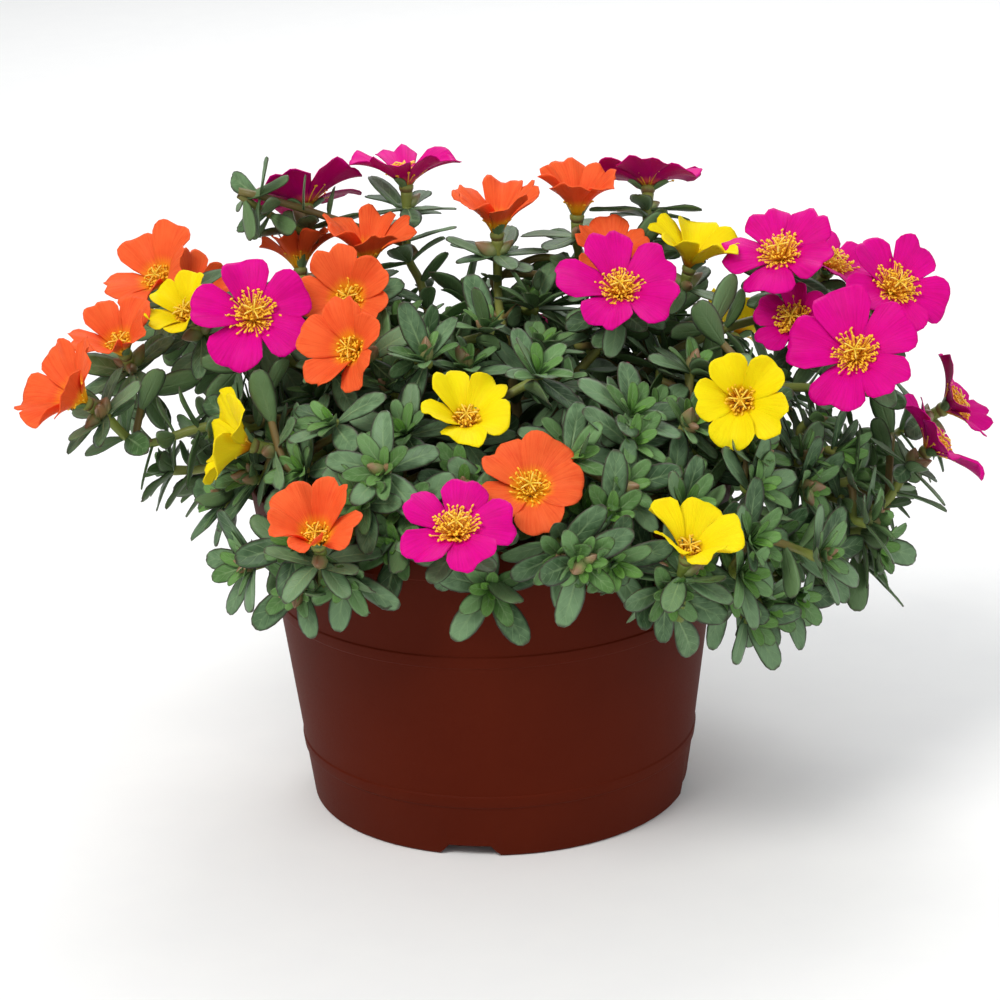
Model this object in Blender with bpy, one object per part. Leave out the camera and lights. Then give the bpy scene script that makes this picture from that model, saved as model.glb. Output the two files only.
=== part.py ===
"""A portulaca in a round plastic pot: trailing leafy stems with five-petalled blooms, standing in soil.

Metres, +Z up. The origin is the middle of the pot's underside, on its centre foot, and -Y is the front.
"""

import math
import random

import bmesh
import bpy
from mathutils import Matrix, Vector
from mathutils.bvhtree import BVHTree

# Pot
POT_HEIGHT = 0.140
POT_BASE_RADIUS = 0.078
POT_TAPER = 0.130  # growth of the outer radius per unit of height
POT_WALL = 0.0022
POT_FLOOR_LOW = 0.0050
POT_FLOOR_HIGH = 0.0075
POT_SKIRT = 0.0035  # width of the ring that the pot stands on
POT_DRAFT = 0.001  # slope of the ring's and the centre foot's inner sides
FOOT_CHAMFER = 0.0008
CENTRE_FOOT_RADIUS = 0.016
RIM_LOW = 0.1240
RIM_UNDERCUT = 0.0006
RIM_PROUD = 0.0026
RIM_ROUND = 0.0012
LIP_STEP = 0.0012  # the inside narrows by this under the lip
LIP_DEPTH = 0.004
RIB_HEIGHTS = (0.0248, 0.0878)  # middles of the two raised bands
RIB_WIDTH = 0.0045
RIB_PROUD = 0.0006
RIB_CHAMFER = 0.0005
POT_SIDES = 36
NOTCH_COUNT = 4
NOTCH_WIDTH_LOW = 0.025
NOTCH_WIDTH_HIGH = 0.017
NOTCH_HEIGHT = 0.0045
NOTCH_REACH = (-0.012, 0.008)  # of the cutter, in and out from the pot's foot
NOTCH_TURN = math.radians(-100.0)  # the front notch, a little left of the middle

# Soil
SOIL_GAP = 0.0004
SOIL_EDGE_HEIGHT = 0.1275
SOIL_CROWN = 0.0045
SOIL_BUMP = 0.0012
SOIL_WAVES = (170.0, 150.0)  # of the bumps across and in depth, in radians to the metre
SOIL_SIDES = 20
SOIL_RINGS = 3
HOLE_DEPTH = 0.014
HOLE_CLEARANCE = 0.0006
ROOT_LIFT = 0.004  # a stem bends only this far above the soil

# Stems
STEM_SIDES = 5
TWIG_SIDES = 4
TIP_SIDES = 5
STEM_RADIUS = 0.0024
TWIG_RADIUS = 0.0016
TWIG_ROOT_RADIUS = 0.0008  # inside the stem that a twig grows from
CALYX_RADIUS = 0.0026
NECK = 0.0062  # from the calyx down to the whorl of leaves under it, in line with the bloom
ROOT_SPREAD = 0.30  # a stem's root lies this share of the way out to the part of the mound that it fills
ROOT_SPACING = 0.0105
ROOT_LIMIT = 0.062
ARRIVALS = (0.22, 0.14, 0.08)  # straight last part of a stem under its bloom, as a share of its length
FORKS_AT = (0.6, 0.45, 0.75, 0.35, 0.8)  # places along a stem where a fork may leave it, best first
RIM_PASS = 0.1475  # a stem's lowest height where it crosses the pot's rim
RIM_SPAN = (0.078, 0.104)  # radii between which a stem is over the rim
SOIL_PASS = 0.005  # a stem's least height above the soil
SWAY = 0.0012  # a stem's way is moved aside this much further at each try
SEAT_GAP = 0.0003

# Blooms
PETALS = 5
CORE_DROP = 0.0030  # from the heart of a bloom down to its seat on the calyx
SEAT_RADIUS = 0.0022
PETAL_THICK = 0.0010
BOSS_RADIUS = 0.0046
BOSS_HEIGHT = 0.0052
BLOOM_STEP = 0.004  # a bloom that crosses another goes back this far along its line of sight
PETAL_START = 22.0  # a petal leaves the heart this much steeper than its cup angle, in degrees
PETAL_STEEPEST = 78.0
PETAL_END = 12.0  # and ends this much flatter
PETAL_STEPS = 6
PETAL_WAVE = 0.0016
# Outline of a petal: degrees from its middle line, share of its length, and lift
PETAL_EDGE = ((-36, 0.50, 0.0), (-27, 0.88, -0.0012), (1, 0.97, 0.0), (26, 0.92, 0.0022))

# Leaves and the mound of leafy tips
LEAF_LENGTH = 0.0250
LEAF_WIDTH = 0.0138
LEAF_THICK = 0.0016
LEAF_CLEAR = 0.0005
WHORL_RADIUS = 0.0021  # of the stem where a whorl of leaves grows out of it
WHORL_THICK = 0.0018
# Half of a leaf's outline from its foot: share of its length, and share of its half width
LEAF_EDGE = ((0.0, 0.16), (0.42, 0.80), (0.78, 0.86))
LEAF_MIDDLE = 0.52  # the midrib is thickest at this share of the length
GOLDEN_ANGLE = math.radians(137.508)
MOUND_TIPS = 44
MOUND_TOP = 0.200
# How far the mound reaches each way, and the height of its edge there
MOUND_FRONT = (0.122, 0.139)
MOUND_LEFT = (0.142, 0.126)
MOUND_RIGHT = (0.172, 0.104)
MOUND_BACK = (0.138, 0.118)
TIP_LEAN = (54, 78)  # angle of the outer leaves from their twig, in degrees
COLLAR_LEAN = (74, 96)
BUD_EVERY = 6
BUD_LENGTH = 0.0115
BUD_RADIUS = 0.0028
BUD_FATTEST = 0.42  # share of a bud's length
STEM_POINTS = 6
FORK_POINTS = 5
SHOOT_TRIES = 60
LEAF_TRIES = 8
TIP_CHOICES = 6
SEED = 22

# The view that the blooms were placed from, in pixels of a picture 1000 wide and 1000 high
VIEW_CENTRE = 500.0
VIEW_FOCAL = 3362.0
VIEW_DISTANCE = 1.300
VIEW_HEIGHT = 0.576
VIEW_YAW = math.radians(0.14)
VIEW_PITCH = math.radians(19.19)
VIEW_ROLL = math.radians(-1.82)

# Colour, pixel across and down of the heart, depth behind the pot's axis, facing round from the
# front and up from level in degrees, diameter when flattened, and cup angle in degrees.
BLOOMS = {
    "front_pink": ("magenta", 456, 534, -0.118, 5, 58, 0.050, 18),
    "front_coral": ("orange", 531, 492, -0.098, -3, 50, 0.046, 20),
    "front_left_coral": ("orange", 318, 543, -0.112, -12, 60, 0.053, 42),
    "front_right_lemon": ("yellow", 687, 556, -0.114, 25, 65, 0.051, 44),
    "middle_lemon": ("yellow", 466, 424, -0.062, 5, 62, 0.046, 32),
    "right_lemon": ("yellow", 741, 402, -0.062, -8, 28, 0.046, 28),
    "centre_pink": ("magenta", 620, 294, -0.005, 0, 52, 0.057, 20),
    "top_lemon": ("yellow", 690, 266, 0.022, 60, 72, 0.053, 38),
    "hidden_coral": ("orange", 612, 262, 0.024, 0, 65, 0.042, 35),
    "top_right_pink": ("magenta", 648, 186, 0.055, 170, 62, 0.052, 15),
    "top_right_coral": ("orange", 577, 214, 0.040, 30, 84, 0.051, 46),
    "top_coral": ("orange", 497, 232, 0.038, 8, 86, 0.053, 43),
    "top_pink": ("magenta", 406, 184, 0.055, 180, 85, 0.056, 26),
    "top_left_pink": ("magenta", 306, 205, 0.062, -165, 55, 0.055, 15),
    "upper_coral": ("orange", 367, 262, 0.028, 20, 85, 0.054, 42),
    "back_left_coral": ("orange", 300, 268, 0.050, 200, 70, 0.044, 45),
    "inner_coral": ("orange", 350, 302, 0.000, -10, 35, 0.049, 30),
    "near_coral": ("orange", 356, 352, -0.038, -32, 30, 0.050, 38),
    "left_pink": ("magenta", 253, 318, -0.020, 8, 40, 0.052, 14),
    "left_lemon": ("yellow", 190, 318, 0.008, -40, 50, 0.040, 35),
    "fan_coral": ("orange", 164, 284, 0.045, -50, 50, 0.054, 34),
    "side_coral": ("orange", 190, 298, 0.088, 40, 45, 0.044, 38),
    "far_left_coral": ("orange", 124, 352, 0.005, -30, 60, 0.051, 42),
    "edge_left_coral": ("orange", 84, 402, -0.028, -62, 40, 0.058, 36),
    "low_left_lemon": ("yellow", 250, 445, -0.052, -80, 18, 0.052, 32),
    "right_pink": ("magenta", 782, 258, 0.005, -25, 55, 0.050, 14),
    "right_back_pink": ("magenta", 828, 270, 0.046, 60, 60, 0.046, 20),
    "far_right_pink": ("magenta", 892, 291, 0.000, 25, 42, 0.050, 14),
    "near_right_pink": ("magenta", 856, 357, -0.034, -12, 40, 0.057, 16),
    "inner_right_pink": ("magenta", 797, 325, 0.006, -30, 42, 0.040, 30),
    "edge_right_pink": ("magenta", 928, 450, -0.015, 90, 42, 0.052, 18),
    "edge_back_pink": ("magenta", 945, 408, 0.024, 80, 30, 0.046, 25),
    "rear_left_coral": ("orange", 285, 330, 0.112, -150, 40, 0.046, 25),
    "rear_pink": ("magenta", 520, 345, 0.138, 178, 38, 0.050, 15),
    "rear_right_lemon": ("yellow", 735, 335, 0.112, 145, 40, 0.046, 28),
    "rear_low_pink": ("magenta", 640, 395, 0.150, 165, 25, 0.048, 18),
}

# Each leafy stem with the blooms that it carries; the first ends the main stem, the others fork off it.
STEMS = {
    "stem_edge_left": ("edge_left_coral", "far_left_coral"),
    "stem_left_back": ("fan_coral", "side_coral"),
    "stem_left_lemon": ("low_left_lemon", "left_lemon"),
    "stem_left_pink": ("left_pink",),
    "stem_near_coral": ("near_coral", "inner_coral"),
    "stem_upper_coral": ("upper_coral", "back_left_coral"),
    "stem_top_pink": ("top_pink", "top_left_pink"),
    "stem_top_coral": ("top_coral", "top_right_coral", "hidden_coral"),
    "stem_centre_pink": ("centre_pink", "top_right_pink"),
    "stem_right_lemon": ("right_lemon", "top_lemon"),
    "stem_middle_lemon": ("middle_lemon",),
    "stem_front_left": ("front_left_coral",),
    "stem_front_pink": ("front_pink",),
    "stem_front_coral": ("front_coral",),
    "stem_front_right": ("front_right_lemon",),
    "stem_right_pink": ("right_pink", "right_back_pink"),
    "stem_near_right": ("near_right_pink", "inner_right_pink", "far_right_pink"),
    "stem_edge_right": ("edge_right_pink", "edge_back_pink"),
    "stem_rear_left": ("rear_left_coral",),
    "stem_rear": ("rear_pink", "rear_low_pink"),
    "stem_rear_right": ("rear_right_lemon",),
}
# A stem with leaves alone, by pixel and depth of its tip
LEAFY_STEMS = {"stem_trailing": (862, 532, -0.020)}

COLOURS = {
    "terracotta": ((0.165, 0.035, 0.014), 0.5),
    "soil": ((0.020, 0.012, 0.008), 0.95),
    "green": ((0.060, 0.130, 0.055), 0.5),
    "magenta": ((0.780, 0.004, 0.360), 0.55),
    "orange": ((0.900, 0.110, 0.030), 0.55),
    "yellow": ((0.930, 0.760, 0.020), 0.55),
}


def clear_scene():
    for obj in list(bpy.data.objects):
        bpy.data.objects.remove(obj)


def material(name):
    found = bpy.data.materials.get(name)
    if found:
        return found
    colour, roughness = COLOURS[name]
    made = bpy.data.materials.new(name)
    made.use_nodes = True
    shader = made.node_tree.nodes["Principled BSDF"]
    shader.inputs["Base Color"].default_value = (*colour, 1.0)
    shader.inputs["Roughness"].default_value = roughness
    shader.inputs["Metallic"].default_value = 0.0
    made.diffuse_color = (*colour, 1.0)
    return made


def mesh_object(name, points, faces, finish=None):
    """A closed mesh as an object in the scene, its faces turned to point out."""
    mesh = bpy.data.meshes.new(name)
    mesh.from_pydata([tuple(p) for p in points], [], faces)
    work = bmesh.new()
    work.from_mesh(mesh)
    bmesh.ops.recalc_face_normals(work, faces=work.faces)
    bmesh.ops.triangulate(work, faces=work.faces)
    work.to_mesh(mesh)
    work.free()
    obj = bpy.data.objects.new(name, mesh)
    bpy.context.scene.collection.objects.link(obj)
    if finish:
        mesh.materials.append(material(finish))
    return obj


def apply_boolean(obj, others, operation):
    """Joins or cuts obj with a list of closed objects in one step, and removes them."""
    tools = bpy.data.collections.new("tools")
    bpy.context.scene.collection.children.link(tools)
    for other in others:
        for owner in list(other.users_collection):
            owner.objects.unlink(other)
        tools.objects.link(other)
    modifier = obj.modifiers.new("join", "BOOLEAN")
    modifier.operation = operation
    modifier.operand_type = "COLLECTION"
    modifier.collection = tools
    modifier.solver = "MANIFOLD"  # EXACT leaves edges that touch where leaves cross
    bpy.context.view_layer.update()
    graph = bpy.context.evaluated_depsgraph_get()
    result = bpy.data.meshes.new_from_object(obj.evaluated_get(graph))
    obj.modifiers.clear()
    old = obj.data
    obj.data = result
    result.name = obj.name
    bpy.data.meshes.remove(old)
    for other in others:
        bpy.data.objects.remove(other)
    bpy.data.collections.remove(tools)


# Pot and soil


def pot_radius(height):
    return POT_BASE_RADIUS + POT_TAPER * height


def band(height, width, proud):
    """Profile points, going up, of a raised band round the pot."""
    low, high = height - width / 2, height + width / 2
    return [
        (pot_radius(low - RIB_CHAMFER), low - RIB_CHAMFER),
        (pot_radius(low) + proud, low),
        (pot_radius(high) + proud, high),
        (pot_radius(high + RIB_CHAMFER), high + RIB_CHAMFER),
    ]


def pot_profile():
    """(radius, height) from the middle of the underside, out, up the wall and back down the inside."""
    points = [(CENTRE_FOOT_RADIUS, 0.0), (CENTRE_FOOT_RADIUS + POT_DRAFT, POT_FLOOR_LOW)]
    skirt = POT_BASE_RADIUS - POT_SKIRT
    points += [(skirt - POT_DRAFT, POT_FLOOR_LOW), (skirt, 0.0)]
    points += [(POT_BASE_RADIUS - FOOT_CHAMFER, 0.0), (pot_radius(FOOT_CHAMFER), FOOT_CHAMFER)]
    for height in RIB_HEIGHTS:
        points += band(height, RIB_WIDTH, RIB_PROUD)
    rim = pot_radius(RIM_LOW) + RIM_PROUD
    top = pot_radius(POT_HEIGHT) + RIM_PROUD
    points += [(pot_radius(RIM_LOW), RIM_LOW - RIM_UNDERCUT), (rim, RIM_LOW)]
    points += [(top, POT_HEIGHT - RIM_ROUND), (top - RIM_ROUND, POT_HEIGHT)]
    inner = top - POT_WALL - RIM_ROUND
    points += [(inner, POT_HEIGHT), (inner - LIP_STEP, POT_HEIGHT - LIP_DEPTH)]
    points += [(pot_radius(POT_FLOOR_HIGH) - POT_WALL, POT_FLOOR_HIGH)]
    return points


def turned_mesh(profile, sides):
    """Points and faces of a solid of revolution, closed by a flat disc at each end of its profile."""
    rings = len(profile)
    points, faces = [], []
    for radius, height in profile:
        for k in range(sides):
            turn = 2 * math.pi * k / sides
            points.append(Vector((radius * math.cos(turn), radius * math.sin(turn), height)))
    for r in range(rings - 1):
        for k in range(sides):
            a, b = r * sides + k, r * sides + (k + 1) % sides
            faces.append((a, b, b + sides, a + sides))
    faces.append(tuple(reversed(range(sides))))
    faces.append(tuple(range((rings - 1) * sides, rings * sides)))
    return points, faces


def notch_cutter(index):
    """A wedge-sided bar that cuts one drainage notch through the skirt."""
    low, high = NOTCH_WIDTH_LOW / 2, NOTCH_WIDTH_HIGH / 2
    inner, outer = (POT_BASE_RADIUS + reach for reach in NOTCH_REACH)
    section = [(-low, -0.001), (low, -0.001), (low, 0.0)]
    section += [(high, NOTCH_HEIGHT), (-high, NOTCH_HEIGHT), (-low, 0.0)]
    points = [(x, across, up) for x in (inner, outer) for across, up in section]
    count = len(section)
    faces = [tuple(range(count)), tuple(range(count, 2 * count))]
    faces += [(k, (k + 1) % count, count + (k + 1) % count, count + k) for k in range(count)]
    cutter = mesh_object(f"notch_{index}", points, faces)
    turn = NOTCH_TURN + 2 * math.pi * index / NOTCH_COUNT
    cutter.data.transform(Matrix.Rotation(turn, 4, "Z"))
    return cutter


def make_pot():
    pot = mesh_object("pot", *turned_mesh(pot_profile(), POT_SIDES), "terracotta")
    apply_boolean(pot, [notch_cutter(k) for k in range(NOTCH_COUNT)], "DIFFERENCE")
    pot.data.shade_smooth()
    pot.data.set_sharp_from_angle(angle=math.radians(30))
    return pot


def soil_height(x, y):
    """The soil's surface: a low crown with shallow bumps."""
    edge = pot_radius(SOIL_EDGE_HEIGHT)
    crown = SOIL_CROWN * (1 - (x * x + y * y) / edge**2)
    bump = SOIL_BUMP * math.sin(SOIL_WAVES[0] * x + 1.3) * math.cos(SOIL_WAVES[1] * y - 0.4)
    return SOIL_EDGE_HEIGHT + crown + bump


def soil_solid():
    foot = POT_FLOOR_HIGH + SOIL_GAP
    # The pot's inner wall runs straight from its floor to just under the lip.
    wall_low = pot_radius(POT_FLOOR_HIGH) - POT_WALL
    wall_top = pot_radius(POT_HEIGHT) + RIM_PROUD - POT_WALL - RIM_ROUND - LIP_STEP
    rise = (SOIL_EDGE_HEIGHT - POT_FLOOR_HIGH) / (POT_HEIGHT - LIP_DEPTH - POT_FLOOR_HIGH)
    # Both circles are polygons, so the soil's corners stay inside the flats of the wall.
    flat = math.cos(math.pi / POT_SIDES)
    low = wall_low * flat - SOIL_GAP
    high = (wall_low + (wall_top - wall_low) * rise) * flat - SOIL_GAP
    points, faces = [], []
    for k in range(SOIL_SIDES):
        turn = 2 * math.pi * k / SOIL_SIDES
        points.append((low * math.cos(turn), low * math.sin(turn), foot))
    for ring in range(SOIL_RINGS):
        radius = high * (1 - ring / SOIL_RINGS)
        for k in range(SOIL_SIDES):
            turn = 2 * math.pi * k / SOIL_SIDES
            x, y = radius * math.cos(turn), radius * math.sin(turn)
            points.append((x, y, soil_height(x, y) if ring else SOIL_EDGE_HEIGHT))
    points.append((0.0, 0.0, soil_height(0.0, 0.0)))
    for ring in range(SOIL_RINGS):
        for k in range(SOIL_SIDES):
            a, b = ring * SOIL_SIDES + k, ring * SOIL_SIDES + (k + 1) % SOIL_SIDES
            faces.append((a, b, b + SOIL_SIDES, a + SOIL_SIDES))
    last = SOIL_RINGS * SOIL_SIDES
    faces += [(last + k, last + (k + 1) % SOIL_SIDES, len(points) - 1) for k in range(SOIL_SIDES)]
    faces.append(tuple(reversed(range(SOIL_SIDES))))
    return mesh_object("soil", points, faces, "soil")


def make_soil(roots):
    soil = soil_solid()
    cutters = []
    for index, root in enumerate(roots):
        radius = STEM_RADIUS + HOLE_CLEARANCE
        low = Vector((root.x, root.y, SOIL_EDGE_HEIGHT - HOLE_DEPTH))
        high = Vector((root.x, root.y, SOIL_EDGE_HEIGHT + 0.02))
        cutters.append(tube(f"hole_{index}", [low, high], [radius, radius], STEM_SIDES))
    apply_boolean(soil, cutters, "DIFFERENCE")
    return soil


# Shapes that the plant is made of


def frame_of(axis, hint=Vector((0, 0, 1))):
    """Two unit vectors that with axis make a right-handed set; the second lies nearest to hint."""
    up = hint - axis * hint.dot(axis)
    if up.length < 1e-4:
        up = axis.orthogonal()
    up.normalize()
    return up.cross(axis).normalized(), up


def ring_frames(path):
    """(centre, side, up) of each ring of a tube along the path, turning with it and without twist."""
    frames, side = [], frame_of((path[1] - path[0]).normalized())[0]
    for k, centre in enumerate(path):
        along = (path[min(k + 1, len(path) - 1)] - path[max(k - 1, 0)]).normalized()
        side = (side - along * side.dot(along)).normalized()
        frames.append((centre, side, along.cross(side)))
    return frames


def tube_mesh(path, radii, sides, whorl=None):
    """Points and faces of a closed tube along a path; a whorl's leaves grow out of its sides."""
    points, faces = [], []
    for (centre, side, up), radius in zip(ring_frames(path), radii):
        for s in range(sides):
            turn = 2 * math.pi * s / sides
            points.append(centre + (side * math.cos(turn) + up * math.sin(turn)) * radius)
    for k in range(len(path) - 1):
        for s in range(sides):
            a, b = k * sides + s, k * sides + (s + 1) % sides
            if whorl and whorl["ring"] == k and s in whorl["leaves"]:
                add_leaf(points, faces, whorl["leaves"][s], (a, b), (a + sides, b + sides))
            else:
                faces.append((a, b, b + sides, a + sides))
    faces.append(tuple(reversed(range(sides))))
    faces.append(tuple(range((len(path) - 1) * sides, len(path) * sides)))
    return points, faces


def add_leaf(points, faces, leaf, low, high):
    """Adds a leaf that grows out of one side of a tube, between edges of its lower and upper ring."""
    first = len(points)
    outline = leaf_mesh(leaf)[0]
    points += [outline[k] for k in (5, 4, 3, 2, 1, 7, 8)]
    blade = list(range(first, first + 5))
    for edge, spine in ((high, first + 5), (low, first + 6)):
        ring = [edge[0], *blade, edge[1], edge[0]]
        made = [(a, b, spine) for a, b in zip(ring, ring[1:])]
        faces += made if edge is high else [tuple(reversed(face)) for face in made]
    faces += [(low[0], high[0], blade[0]), (high[1], low[1], blade[-1])]


def tube(name, path, radii, sides, whorl=None):
    return mesh_object(name, *tube_mesh(path, radii, sides, whorl))


def leaf_mesh(leaf, grow=0.0):
    """Points and faces of one leaf: a blade with a thick midrib, widest past its middle, arched."""
    length, half = leaf["length"] + grow, leaf["width"] / 2 + grow
    thick = LEAF_THICK / 2 + grow
    ahead, up = leaf["ahead"], leaf["up"]
    across = ahead.cross(up)

    def at(along, side, lift):
        arch = leaf["arch"] * length * along * along
        cup = leaf["cup"] * abs(side) * half
        return leaf["base"] + ahead * (along * length) + across * (side * half) + up * (lift + arch + cup)

    points = [at(along, -side, 0) for along, side in LEAF_EDGE] + [at(1.0, 0.0, 0)]
    points += [at(along, side, 0) for along, side in reversed(LEAF_EDGE)]
    points += [at(LEAF_MIDDLE, 0, thick), at(LEAF_MIDDLE, 0, -thick)]
    top = [(k, (k + 1) % 7, 7) for k in range(7)]
    low = [((k + 1) % 7, k, 8) for k in range(7)]
    return points, top + low


def bud_mesh(bud):
    """Points and faces of a pointed flower bud: a four-sided spindle, fattest below its middle."""
    ahead = bud["ahead"]
    side, up = frame_of(ahead)
    points = [bud["base"], bud["base"] + ahead * bud["length"]]
    for turn in range(4):
        out = side * math.cos(turn * math.pi / 2) + up * math.sin(turn * math.pi / 2)
        points.append(bud["base"] + ahead * (BUD_FATTEST * bud["length"]) + out * bud["radius"])
    faces = [(0, 2 + (k + 1) % 4, 2 + k) for k in range(4)] + [(1, 2 + k, 2 + (k + 1) % 4) for k in range(4)]
    return points, faces


def petal_curve(bloom, share):
    """(out, up) of a petal's middle line at a share of its length, from the bloom's heart."""
    length = bloom["diameter"] / 2 - SEAT_RADIUS
    start = math.radians(min(PETAL_STEEPEST, bloom["cup"] + PETAL_START))
    end = math.radians(bloom["cup"] - PETAL_END)
    out, up = SEAT_RADIUS, 0.0
    for k in range(PETAL_STEPS):
        lean = start + (end - start) * (k + 0.5) / PETAL_STEPS * share
        out += math.cos(lean) * length * share / PETAL_STEPS
        up += math.sin(lean) * length * share / PETAL_STEPS
    return out, up


def bloom_mesh(bloom, grow=1.0, thick=PETAL_THICK):
    """Points and faces of a bloom: five lobed petals round a crown of stamens, on a small flat seat."""
    side, up = frame_of(bloom["facing"])
    heart, facing = bloom["heart"], bloom["facing"]
    pitch = 2 * math.pi / PETALS

    def at(turn, out, lift):
        turn += bloom["spin"]
        return heart + (side * math.cos(turn) + up * math.sin(turn)) * out + facing * lift

    def on_petal(petal, off, share, lift=0.0):
        out, rise = petal_curve(bloom, share)
        return at(petal * pitch + math.radians(off), out * grow, rise + lift)

    points, faces = [], []
    for petal in range(PETALS):
        # The leading edge of each petal rides over the trailing edge of the next one.
        wave = PETAL_WAVE * math.sin(2.4 * petal + 5 * bloom["spin"])
        for off, share, lift in PETAL_EDGE:
            points.append(on_petal(petal, off, share, lift + (wave if share > 0.5 else 0.0)))
    rim = len(PETAL_EDGE) * PETALS
    for sign in (1, -1):
        for petal in range(PETALS):
            points += [
                on_petal(petal, -36, 0.26, sign * thick * 0.6 + 0.0004),
                on_petal(petal, 0, 0.56, sign * thick * 0.6 - 0.0006),
            ]
    top, low = rim, rim + 2 * PETALS
    boss = low + 2 * PETALS
    for petal in range(PETALS):
        points.append(at((petal - 0.5) * pitch, BOSS_RADIUS, 0.0022))
    crown = boss + PETALS
    points += [at((petal - 0.5) * pitch, BOSS_RADIUS * 0.9, BOSS_HEIGHT + 0.0012) for petal in range(PETALS)]
    tip = len(points)
    points.append(at(0.0, 0.0, BOSS_HEIGHT + 0.0004))
    seat = tip + 1
    points += [at((petal - 0.5) * pitch, SEAT_RADIUS, -CORE_DROP) for petal in range(PETALS)]
    for petal in range(PETALS):
        after = (petal + 1) % PETALS
        r = [4 * petal, 4 * petal + 1, 4 * petal + 2, 4 * petal + 3, 4 * after]
        for ring, flip in ((top, False), (low, True)):
            inner, middle, inner_after = ring + 2 * petal, ring + 2 * petal + 1, ring + 2 * after
            made = [(r[0], r[1], middle, inner), (r[1], r[2], middle), (r[2], r[3], middle)]
            made += [(r[3], r[4], inner_after, middle)]
            faces += [tuple(reversed(f)) if flip else f for f in made]
        a, b = top + 2 * petal, top + 2 * after
        upper, lower = top + 2 * petal + 1, low + 2 * petal + 1
        faces += [(a, upper, boss + after, boss + petal), (upper, b, boss + after)]
        faces += [(boss + petal, boss + after, crown + after, crown + petal)]
        faces += [(crown + petal, crown + after, tip)]
        c, d = low + 2 * petal, low + 2 * after
        faces += [(lower, c, seat + petal, seat + after), (d, lower, seat + after)]
    faces.append(tuple(seat + k for k in range(PETALS)))
    return points, faces


# The plan of the plant: where each bloom, stem, leaf and bud goes, each kept clear of the other nodes


def view_ray(across, down):
    """The direction seen at a pixel of the view."""
    level = Vector((math.sin(VIEW_YAW), math.cos(VIEW_YAW), 0.0))
    ahead = level * math.cos(VIEW_PITCH) - Vector((0, 0, math.sin(VIEW_PITCH)))
    right = ahead.cross(Vector((0, 0, 1))).normalized()
    up = right.cross(ahead)
    rolled_right = right * math.cos(VIEW_ROLL) + up * math.sin(VIEW_ROLL)
    rolled_up = up * math.cos(VIEW_ROLL) - right * math.sin(VIEW_ROLL)
    x, y = (across - VIEW_CENTRE) / VIEW_FOCAL, (VIEW_CENTRE - down) / VIEW_FOCAL
    return ahead + rolled_right * x + rolled_up * y


def seen_at(across, down, depth):
    """The point seen at a pixel, at a depth behind the pot's axis."""
    eye = Vector((0, -VIEW_DISTANCE, VIEW_HEIGHT))
    ray = view_ray(across, down)
    return eye + ray * ((depth - eye.y) / ray.y)


def facing_vector(round_deg, up_deg):
    turn, rise = math.radians(round_deg), math.radians(up_deg)
    return Vector((math.sin(turn) * math.cos(rise), -math.cos(turn) * math.cos(rise), math.sin(rise)))


class Space:
    """What has been placed so far, with a test for what would cross a different node."""

    def __init__(self):
        self.items = []

    def entry(self, node, points, faces):
        centre = sum(points, Vector()) / len(points)
        reach = max((p - centre).length for p in points)
        return node, BVHTree.FromPolygons([tuple(p) for p in points], faces), centre, reach

    def crosses(self, entry, same_node=False):
        node, tree, centre, reach = entry
        for other, other_tree, other_centre, other_reach in self.items:
            if (other == node) != same_node or (centre - other_centre).length > reach + other_reach:
                continue
            if tree.overlap(other_tree):
                return True
        return False

    def add(self, entry):
        self.items.append(entry)


def plan_blooms(space):
    """Sets each bloom where it is seen, and moves it back along its line of sight off the others."""
    blooms = {}
    for index, (name, row) in enumerate(BLOOMS.items()):
        colour, across, down, depth, turn, rise, diameter, cup = row
        bloom = {"colour": colour, "facing": facing_vector(turn, rise), "diameter": diameter, "cup": cup}
        bloom["spin"] = index * GOLDEN_ANGLE
        for step in range(14):
            bloom["heart"] = seen_at(across, down, depth + BLOOM_STEP * step)
            entry = space.entry(name, *bloom_mesh(bloom, 1.04, PETAL_THICK + 2 * LEAF_CLEAR))
            if not space.crosses(entry):
                break
        space.add(entry)
        blooms[name] = bloom
    return blooms


def calyx_tip(bloom):
    return bloom["heart"] - bloom["facing"] * (CORE_DROP + SEAT_GAP)


def smooth_path(knots, count):
    """Points on a smooth curve through the knots."""
    ends = [knots[0] * 2 - knots[1]] + knots + [knots[-1] * 2 - knots[-2]]
    path = []
    spans = len(knots) - 1
    for k in range(count):
        place = spans * k / (count - 1)
        span = min(int(place), spans - 1)
        t = place - span
        a, b, c, d = ends[span : span + 4]
        bend, twist = 2 * a - 5 * b + 4 * c - d, 3 * b - a - 3 * c + d
        path.append(0.5 * (2 * b + (c - a) * t + bend * t * t + twist * t**3))
    return path


def over_rim(point):
    """The point, lifted where a stem would touch the pot's rim or its soil."""
    radius = math.hypot(point.x, point.y)
    lowest = 0.0
    if radius <= RIM_SPAN[0]:
        lowest = soil_height(point.x, point.y) + SOIL_PASS
    elif radius < RIM_SPAN[1]:
        lowest = RIM_PASS
    return Vector((point.x, point.y, max(point.z, lowest)))


def root_places(targets):
    """Root of each stem in the soil: part of the way out to its tips, and well apart from the others."""
    roots = {name: Vector((t.x, t.y)) * ROOT_SPREAD for name, t in targets.items()}
    for _ in range(80):
        for a in roots:
            for b in roots:
                if a >= b:
                    continue
                between = roots[b] - roots[a]
                short = ROOT_SPACING - between.length
                if short > 0:
                    push = (between.normalized() if between.length > 1e-6 else Vector((1, 0))) * (short / 2)
                    roots[a] = roots[a] - push
                    roots[b] = roots[b] + push
        for name, root in roots.items():
            if root.length > ROOT_LIMIT:
                roots[name] = root.normalized() * ROOT_LIMIT
    return roots


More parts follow.
